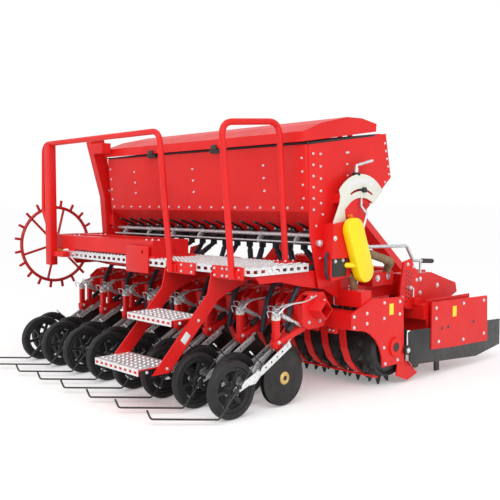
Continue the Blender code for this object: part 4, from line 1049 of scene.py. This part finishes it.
# %% Punched sheets
def punched(low, high, top, cell, thickness, margin=0.018):
    """A level punched sheet with plain margins, its top at the given height."""
    wide, deep = high[0] - low[0], high[1] - low[1]
    columns, rows = max(int(wide / cell), 2), max(int(deep / cell), 2)
    deselect()
    sheet_middle = at((low[0] + high[0]) / 2, (low[1] + high[1]) / 2, top)
    bpy.ops.mesh.primitive_grid_add(x_subdivisions=columns, y_subdivisions=rows, size=1,
                                    location=sheet_middle)
    sheet = bpy.context.active_object
    sheet.scale = (wide, deep, 1)
    bpy.ops.object.transform_apply(location=False, rotation=False, scale=True)
    bpy.ops.object.mode_set(mode="EDIT")
    bpy.ops.mesh.select_mode(type="FACE")
    bpy.ops.mesh.select_all(action="DESELECT")
    bpy.ops.object.mode_set(mode="OBJECT")
    for face in sheet.data.polygons:
        x, y = face.center.x + wide / 2, face.center.y + deep / 2
        inside = margin < x < wide - margin and margin < y < deep - margin
        column, line = int(x / wide * columns), int(y / deep * rows)
        face.select = inside and (column + line) % 2 == 0
    bpy.ops.object.mode_set(mode="EDIT")
    bpy.ops.mesh.inset(thickness=cell * 0.13, depth=0, use_individual=True)
    bpy.ops.mesh.delete(type="FACE")
    bpy.ops.object.mode_set(mode="OBJECT")
    solid = sheet.modifiers.new("Solidify", "SOLIDIFY")
    solid.thickness = thickness
    solid.offset = -1
    settle(sheet)
    return sheet


def slotted(start, end, width, height, count, across):
    """An upright lip with a row of slots; across is the way its flat side faces."""
    start, end = Vector(start), Vector(end)
    size = Vector((abs(end.x - start.x), abs(end.y - start.y), 0))
    thick = Vector((width if across == "X" else 0, width if across == "Y" else 0, 0))
    low = start - thick / 2
    lip = block(low, low + size + thick + Vector((0, 0, height)), 0.001)
    cutters = []
    for i in range(count):
        spot = start.lerp(end, (i + 0.5) / count) + Vector((0, 0, height * 0.5))
        reach = (end - start).length / count * 0.27
        half = Vector((reach, width * 2, height * 0.20)) if across == "Y" else Vector(
            (width * 2, reach, height * 0.20))
        cutters.append(block(spot - half, spot + half, 0))
    return cut(lip, cutters)


def dimples(low, high, top, spacing):
    """Raised punched rims in staggered rows, which grip a boot."""
    deselect()
    bpy.ops.mesh.primitive_cone_add(vertices=8, radius1=0.0095, radius2=0.0066, depth=0.0040,
                                    location=(0, 0, 0.0020))
    rim = bpy.context.active_object
    bpy.ops.object.mode_set(mode="EDIT")
    bpy.ops.mesh.select_mode(type="FACE")
    bpy.ops.mesh.select_all(action="DESELECT")
    bpy.ops.object.mode_set(mode="OBJECT")
    for face in rim.data.polygons:
        face.select = face.normal.z > 0.9
    bpy.ops.object.mode_set(mode="EDIT")
    bpy.ops.mesh.inset(thickness=0.0016, depth=-0.0034)
    bpy.ops.object.mode_set(mode="OBJECT")
    settle(rim)
    columns = int((high[0] - low[0] - 0.03) / spacing)
    rows = int((high[1] - low[1] - 0.03) / spacing)
    places = []
    for row in range(rows + 1):
        for column in range(columns + 1 - row % 2):
            x = (low[0] + high[0]) / 2 + (column - (columns - row % 2) / 2) * spacing
            y = (low[1] + high[1]) / 2 + (row - rows / 2) * spacing
            places.append(Matrix.Translation(at(x, y, top - 0.0002)))
    return copies("dimples", rim, places)


# %% Platform
LEFT, RIGHT, REAR, FRONT, TOP = -1.04, 1.10, 0.15, 0.625, 0.835
CELL = 0.0215
deck = punched((LEFT, REAR), (RIGHT, FRONT), TOP, CELL, 0.004)
FOOT, LIP, LIP_THICK = TOP - 0.05, 0.0475, 0.004
lips = [slotted(at(LEFT, y, FOOT), at(RIGHT, y, FOOT), LIP_THICK, LIP, 34, "Y")
        for y in (REAR + LIP_THICK / 2, FRONT - LIP_THICK / 2)]
lips += [slotted(at(x, REAR, FOOT), at(x, FRONT, FOOT), LIP_THICK, LIP, 8, "X")
         for x in (RIGHT - LIP_THICK / 2, LEFT + LIP_THICK / 2)]
lips.append(dimples((LEFT, REAR), (RIGHT, FRONT), TOP, 2 * CELL))
dress(merged("deck_plate", [deck] + lips), "deck_plate", ZINC, MAIN, ("platform",))
INSET = 0.01
shade = block(at(LEFT + INSET, REAR + INSET, TOP - 0.012),
              at(RIGHT - INSET, FRONT - INSET, TOP - 0.0085), 0)
dress(shade, "deck_shade", BLACK_PAINT)

# %% Step treads
STEPS = ((-0.16, 0.53), (-0.39, 0.28))
STEP_DEPTH, STEP_LEFT, STEP_RIGHT = 0.24, 0.316, 0.759
treads = []
for rear, top in STEPS:
    front = rear + STEP_DEPTH
    treads.append(punched((STEP_LEFT, rear - 0.0025), (STEP_RIGHT, front + 0.0025), top + 0.0042,
                          CELL, 0.0035, 0.014))
    for y in (rear - 0.0020, front + 0.0020):
        treads.append(slotted(at(STEP_LEFT, y, top - 0.0355), at(STEP_RIGHT, y, top - 0.0355),
                              0.003, 0.038, 9, "Y"))
for rear, top in STEPS:
    treads.append(dimples((STEP_LEFT, rear), (STEP_RIGHT, rear + STEP_DEPTH), top + 0.0042,
                          2 * CELL))
dress(merged("step_treads", treads), "step_treads", ZINC)
shades = [block(at(0.318, rear, top + 0.0002), at(0.757, rear + STEP_DEPTH, top + 0.0006), 0)
          for rear, top in STEPS]
dress(merged("tread_shade", shades), "tread_shade", BLACK_PAINT)
bolts("step_bolts", [(0.7702, rear + along, top - 0.018) for rear, top in STEPS
                     for along in (0.05, 0.19)], 0.007)
plate_holes = (0.79, 0.86, 0.90, 1.00, 0.335, 0.36, 0.47, 0.57)
bolts("ladder_plate_bolts", [(x, 0.1395, z) for x in plate_holes for z in (0.776, 0.817)],
      0.0062, way="-Y")
dress(block(at(0.7698, -0.088, 0.388), at(0.7708, -0.044, 0.452), 0.0003,
            (math.radians(-43), 0, 0)), "ladder_label", LABEL)
lug = plate([(0.140, 0.735), (0.140, 0.905), (0.1503, 0.915), (0.1503, 0.735)], -0.02, 0.26, 0.002)
lug_hole = rod(at(0.045, 0.10, 0.875), at(0.045, 0.20, 0.875), 0.012, 20, 0)
dress(cut(lug, [lug_hole]), "rear_lug", RED)
print("treads", len(treads))

# %% [markdown]
# # Handrails
# The rails are bent from round tube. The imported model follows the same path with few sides, so
# these sweep it again with more sides and put the clamp plates and bolts at their feet.

# %% Handrails
TUBE = 0.0192
side_rail = tube(rounded([at(0.965, 0.1205, 0.765), at(0.965, 0.0405, 1.655),
                          at(0.965, 0.50, 1.690), at(0.965, 0.560, 0.8455)], 0.085, 9), TUBE, 5)
side_foot = block(at(0.915, 0.51, 0.8355), at(1.015, 0.61, 0.8455), 0.002)
side_clamp = block(at(0.925, 0.1300, 0.770), at(1.005, 0.1395, 0.815), 0.002)
dress(merged("side_rail_tube", [side_rail, side_foot, side_clamp]), "side_rail_tube", RED, MAIN,
      ("side_handrail",))
rear_rail = tube(rounded([at(0.385, 0.1205, 0.765), at(0.300, 0.10, 1.655), at(-1.205, 0.10, 1.655),
                          at(-1.225, 0.10, 1.140), at(-1.135, 0.10, 0.985)], 0.085, 9), TUBE, 5)
rear_post = block(at(-1.155, 0.07, 0.722), at(-1.075, 0.13, 1.645), 0.006)
rear_clamp = block(at(0.345, 0.1290, 0.770), at(0.425, 0.1395, 0.815), 0.002)
rear_tie = block(at(-1.145, 0.09, 0.79), at(-0.92, 0.1496, 0.83), 0.003)
dress(merged("rear_rail_tube", [rear_rail, rear_post, rear_clamp, rear_tie]), "rear_rail_tube", RED,
      MAIN, ("rear_handrail",))
bolts("rail_foot_bolts", [(0.932, 0.527, 0.8455), (0.998, 0.527, 0.8455), (0.932, 0.593, 0.8455),
                          (0.998, 0.593, 0.8455)], 0.007, way="+Z")
print("rails 2")

# %% [markdown]
# # Star wheel
# The spiked wheel runs on the ground and drives the metering shaft. It is bent from square bar
# with welded spikes and spokes, turning on a yellow flanged hub.

# %% Star wheel
star_middle = centre("star_wheel")
RIM_R, SPIKE_R = 0.300, 0.361
deselect()
bpy.ops.mesh.primitive_torus_add(major_radius=RIM_R, minor_radius=0.0130, major_segments=96,
                                 minor_segments=12, rotation=(0, math.pi / 2, 0))
star_parts = [settle(bpy.context.active_object)]
spikes = 20
for number in range(spikes):
    angle = 2 * math.pi * (number + 0.5) / spikes
    way = Vector((0, math.cos(angle), math.sin(angle)))
    star_parts.append(bar(way * (RIM_R - 0.002), way * SPIKE_R, 0.017, 0.020, 0.004))
for number in range(6):
    angle = 2 * math.pi * (number + 0.25) / 6
    way = Vector((0, math.cos(angle), math.sin(angle)))
    star_parts.append(rod(way * 0.040, way * (RIM_R - 0.004), 0.0100, 16))
star_parts.append(turned([(0.0195, 0.044), (0.038, 0.044), (0.044, 0.036)], 40))
frame_of_star = merged("star", star_parts)
frame_of_star.data.transform(Matrix.Translation(star_middle))
dress(frame_of_star, "star_wheel_frame_work", DARK_RED, "star_wheel", ("star_wheel",))
flange = turned([(0.0195, 0.0465), (0.040, 0.0480), (0.064, 0.0460), (0.066, 0.0420),
                 (0.046, 0.0300)], 48)
flange.data.transform(Matrix.Translation(star_middle))
dress(flange, "star_hub", YELLOW, "star_wheel")
print("spikes", spikes)
arm_bolts = [(-0.93, y, 0.9502) for y in (0.20, 0.24, 0.43, 0.47)]
arm_bolts += [(x, y, 0.9502) for x in (0.02, 0.09) for y in (0.195, 0.245)]
bolts("beam_clamp_bolts", arm_bolts, 0.008, way="+Z")
print("star wheel done")

# %% [markdown]
# # Drive side
# The seed rate is set on an ivory dial plate with a curved slot and a black knob. The crank above
# is for calibration, the bent rod carries the setting down behind the chain guard.

# %% Dial plate
DIAL_X = 1.1536
DIAL_Y, DIAL_Z = 1.06, 1.115


def arc(reach_y, reach_z, start, end, steps=16):
    return [(DIAL_Y + reach_y * math.cos(math.radians(start + (end - start) * i / steps)),
             DIAL_Z + reach_z * math.sin(math.radians(start + (end - start) * i / steps)))
            for i in range(steps + 1)]


dial_tail = [(0.853, 1.245), (0.846, 1.200), (0.790, 1.090), (0.768, 1.010), (0.776, 0.985),
             (0.800, 0.985), (0.840, 1.045), (0.905, 1.088), (0.893, 1.160)]
dial = plate(arc(0.278, 0.270, 38, 142) + dial_tail + arc(0.165, 0.120, 136, 42),
             DIAL_X, 0.006, 0.0006)
slot_outline = arc(0.200, 0.178, 125, 55) + arc(0.190, 0.162, 55, 125)
slot_tool = plate(slot_outline, DIAL_X, 0.03, 0)
hole = rod(at(DIAL_X - 0.02, 0.794, 1.012), at(DIAL_X + 0.02, 0.794, 1.012), 0.009, 20, 0)
dress(cut(dial, [slot_tool, hole]), "dial_face", IVORY, MAIN, ("dial_plate",))
blank = plate(arc(0.245, 0.240, 124, 62) + arc(0.226, 0.212, 62, 124), DIAL_X + 0.0036, 0.0008, 0)
dress(blank, "dial_label", LABEL)
knob = [rod(at(1.150, 1.075, 1.284), at(1.178, 1.075, 1.284), 0.0175, 28, 0.004),
        rod(at(1.149, 1.035, 1.284), at(1.160, 1.066, 1.284), 0.007, 12),
        rod(at(1.135, 1.03, 1.375), at(1.135, 1.03, 1.394), 0.026, 24, 0.003)]
dress(merged("dial_knob", knob), "dial_knob", RIM)
crank = [tube(rounded([at(1.135, 1.030, 1.300), at(1.135, 1.030, 1.440),
                       at(1.150, 1.175, 1.475)], 0.012, 5), 0.0090, 4),
         rod(at(1.135, 1.030, 1.390), at(1.135, 1.030, 1.425), 0.0125, 20)]
dress(merged("calibration_crank", crank), "calibration_crank", STEEL)
setting = tube(rounded([at(1.146, 1.068, 1.240), at(1.146, 1.068, 1.180), at(1.172, 1.095, 1.130),
                        at(1.176, 1.005, 0.930)], 0.012, 4), 0.0085, 4)
dress(setting, "setting_rod", STEEL)
dress(rod(at(1.150, 0.930, 1.118), at(1.185, 0.930, 1.118), 0.012, 20, 0.004), "small_knob",
      stirred("orange_plastic", (0.75, 0.16, 0.01), (0.82, 0.20, 0.02), 0.35, 0.45, scale=20.0))
bolts("dial_bolts", [(1.0905, 0.955, 1.155), (1.0905, 1.000, 1.145), (1.0905, 1.060, 1.190),
                     (1.0905, 1.035, 1.150)], 0.006)
print("dial done")

# %% Chain guard and gear case
low_guard, high_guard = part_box("chain_guard")
guard_x = (low_guard[0] + high_guard[0]) / 2 - MIDDLE_X
guard_line = []
top_end, bottom_end, half = Vector((0.912, 1.035)), Vector((1.014, 0.775)), 0.0748
lean = math.atan2((top_end - bottom_end).y, (top_end - bottom_end).x)
for spot, start in ((top_end, lean - math.pi / 2), (bottom_end, lean + math.pi / 2)):
    for step in range(25):
        angle = start + math.pi * step / 24
        guard_line.append((spot.x + half * math.cos(angle), spot.y + half * math.sin(angle)))
cover = plate(guard_line, guard_x, high_guard[0] - low_guard[0], 0.012)
dress(cover, "chain_cover", YELLOW, MAIN, ("chain_guard",))
dress(rod(at(1.10, 0.845, 0.815), at(1.215, 0.935, 0.812), 0.017, 24), "guard_stay", YELLOW)
dress(block(at(1.1205, 0.752, 0.738), at(1.1655, 0.905, 0.872), 0.004), "box_frame", RED)
dress(block(at(1.165, 0.762, 0.745), at(1.1700, 0.900, 0.858), 0.003), "connector_box", BLACK_PAINT)
bolts("connector_bolts", [(1.170, 0.790, 0.842), (1.170, 0.862, 0.846)], 0.009)
bolts("case_bolts", [(1.1805, 0.775, 0.985)], 0.012)
big = [rod(at(1.0905, 0.715, 0.955), at(1.118, 0.715, 0.955), 0.021, 28, 0.003),
       rod(at(1.118, 0.715, 0.955), at(1.124, 0.715, 0.955), 0.010, 20)]
dress(merged("metering_shaft_end", big), "metering_shaft_end", BOLT)
loop = tube(rounded([at(1.100, 0.860, 0.885), at(1.140, 0.770, 0.905), at(1.150, 0.722, 0.880),
                     at(1.150, 0.722, 0.780), at(1.140, 0.750, 0.735)], 0.03, 6), 0.0095, 3)
dress(loop, "cable_loop", HOSE)
big_path = rounded([at(1.130, 0.970, 0.890), at(1.160, 1.150, 0.870), at(1.165, 1.370, 0.810),
                    at(1.085, 1.445, 0.770), at(1.060, 1.450, 0.700)], 0.12, 8)
hose = merged("drive_hose", [tube(big_path, 0.026, 4)] + ribbed(big_path, 0.026, 0.016, 0.0022))
dress(hose, "drive_hose", BROWN_HOSE)
short_path = rounded([at(1.130, 0.935, 0.760), at(1.150, 0.985, 0.735),
                      at(1.150, 1.000, 0.640)], 0.03, 6)
dress(merged("short_hose", [tube(short_path, 0.024, 4)] + ribbed(short_path, 0.024, 0.014, 0.002)),
      "short_hose", BROWN_HOSE)
print("drive side done")

# %% [markdown]
# # Front corner
# A bent steel rail with a rubber grip reaches forward along the drive side, so that a person can
# steady the machine while coupling. Below it a red box with two large bolts ties the drill frame
# to the harrow.

# %% Grab rail and link box
grab = tube(rounded([at(1.090, 1.060, 0.915), at(1.125, 1.110, 0.915), at(1.125, 1.600, 0.905),
                     at(1.105, 1.710, 0.795), at(1.105, 1.930, 0.780)], 0.05, 7), 0.0115, 4)
post = rod(at(1.105, 1.800, 0.690), at(1.105, 1.800, 0.788), 0.009, 16)
grab = merged("grab", [grab, post])
dress(grab, "grab_rail", STEEL)
grip = tube([at(1.105, 1.820, 0.7875), at(1.105, 1.950, 0.7790)], 0.0170, 4)
dress(grip, "rail_grip", RIM)
link = block(at(1.000, 1.270, 0.640), at(1.090, 1.500, 0.735), 0.005)
dress(link, "link_box", RED)
bolts("link_bolts", [(1.090, 1.325, 0.695), (1.090, 1.440, 0.700)], 0.017)
clip = tube(rounded([at(1.045, 1.040, 0.655), at(1.045, 0.925, 0.655), at(1.045, 0.925, 0.545),
                     at(1.045, 1.040, 0.545)], 0.02, 5), 0.0042, 3)
dress(clip, "beam_clip", STEEL)
print("front corner done")

# %% [markdown]
# # Star wheel column
# The column carries the lifted star wheel and ends in two hooks with a short bar between them.

# %% Column hooks
hooks = []
for x in (-1.236, -1.164):
    hooks.append(plate([(0.500, 1.690), (0.488, 1.722), (0.505, 1.738), (0.525, 1.722),
                        (0.520, 1.706), (0.560, 1.706), (0.612, 1.716)], x, 0.010, 0.001))
hooks.append(rod(at(-1.245, 0.575, 1.716), at(-1.155, 0.575, 1.716), 0.011, 18))
dress(merged("column_hooks", hooks), "column_hooks", RED)
bolts("column_bolts", [(-1.1645, 0.690, 0.90), (-1.1645, 0.690, 1.00), (-1.1645, 0.660, 1.30)],
      0.008)
print("column done")

# %% [markdown]
# # Finishes on the frame's own pieces
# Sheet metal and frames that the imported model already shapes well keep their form. They only need
# their finish, so a material goes on each object's slot.

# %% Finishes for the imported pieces
FRAME_FINISH = {
    "hopper": RED, "hopper_lid": RED, "drill_frame": RED, "roller_frame": RED,
    "harrow_frame": RED, "star_wheel_frame": RED, "drive_case": RED, "chain_guard": YELLOW,
    "dial_plate": IVORY, "side_handrail": RED, "rear_handrail": RED, "platform": ZINC,
    "ladder": RED, "metering_unit": BLACK_PAINT, "seed_tubes": HOSE, "coulter_bank": RED,
    "packer_roller": BLACK_PAINT, "star_wheel": DARK_RED,
}
for node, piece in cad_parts.items():
    finish = FRAME_FINISH.get(node)
    if finish is None:
        finish = BLACK_PAINT if node.startswith("harrow_rotor") else TYRE
    piece.material_slots[0].link = "OBJECT"
    piece.material_slots[0].material = finish
print("packed pieces finished", len(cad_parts))

# %% [markdown]
# # Floor and light
# The machine stands on a plain pale floor in soft studio light: a large key from the camera's
# left, a fill from the right and a wide soft sun above, so red paint stays red and black stays
# deep. The camera, glossy and transmission rays see a white world, other rays a weaker one.

# %% Floor
deselect()
bpy.ops.mesh.primitive_plane_add(size=400, location=at(0, 1, 0))
floor = bpy.context.active_object
floor.name = "floor"
floor_finish, floor_tree, floor_main = shader("pale_floor", (0.90, 0.90, 0.90), 0.9)
floor_tree.links.new(spread(floor_tree, noise(floor_tree, 3.0), 0.86, 0.92),
                     floor_main.inputs["Roughness"])
floor_main.inputs["Emission Color"].default_value = (1, 1, 1, 1)
floor_main.inputs["Emission Strength"].default_value = 0.22
floor.data.materials.append(floor_finish)


# %% Lamps
def lamp(name, place, aim, size, power):
    light = bpy.data.lights.new(name, "AREA")
    light.shape = "SQUARE"
    light.size = size
    light.energy = power
    made = bpy.data.objects.new(name, light)
    made.location = place
    made.rotation_euler = (Vector(aim) - Vector(place)).to_track_quat("-Z", "Y").to_euler()
    bpy.context.collection.objects.link(made)


middle = at(0.1, 1.2, 0.7)
lamp("key", at(0.5, -5.5, 4.5), middle, 4.0, 80)
lamp("fill", at(6.5, -0.5, 3.2), middle, 4.0, 95)
sun = bpy.data.lights.new("sky_panel", "SUN")
sun.energy = 1.15
sun.angle = math.radians(50)
sun_object = bpy.data.objects.new("sky_panel", sun)
sun_object.rotation_euler = (math.radians(28), math.radians(18), 0)
bpy.context.collection.objects.link(sun_object)

world = bpy.data.worlds.new("studio")
bpy.context.scene.world = world
world.use_nodes = True
sky = world.node_tree
sky.nodes.clear()
rays = sky.nodes.new("ShaderNodeLightPath")
clean = sky.nodes.new("ShaderNodeMath")
clean.operation = "MAXIMUM"
seen = sky.nodes.new("ShaderNodeMath")
seen.operation = "MAXIMUM"
sky.links.new(rays.outputs["Is Camera Ray"], clean.inputs[0])
sky.links.new(rays.outputs["Is Glossy Ray"], clean.inputs[1])
sky.links.new(clean.outputs[0], seen.inputs[0])
sky.links.new(rays.outputs["Is Transmission Ray"], seen.inputs[1])
ambient = sky.nodes.new("ShaderNodeBackground")
ambient.inputs["Strength"].default_value = 0.50
backdrop = sky.nodes.new("ShaderNodeBackground")
backdrop.inputs["Strength"].default_value = 1.0
choice = sky.nodes.new("ShaderNodeMixShader")
end = sky.nodes.new("ShaderNodeOutputWorld")
ambient.inputs["Color"].default_value = (1, 1, 1, 1)
backdrop.inputs["Color"].default_value = (1, 1, 1, 1)
sky.links.new(seen.outputs[0], choice.inputs["Fac"])
sky.links.new(ambient.outputs[0], choice.inputs[1])
sky.links.new(backdrop.outputs[0], choice.inputs[2])
sky.links.new(choice.outputs[0], end.inputs["Surface"])
bpy.context.scene.view_settings.view_transform = "Standard"
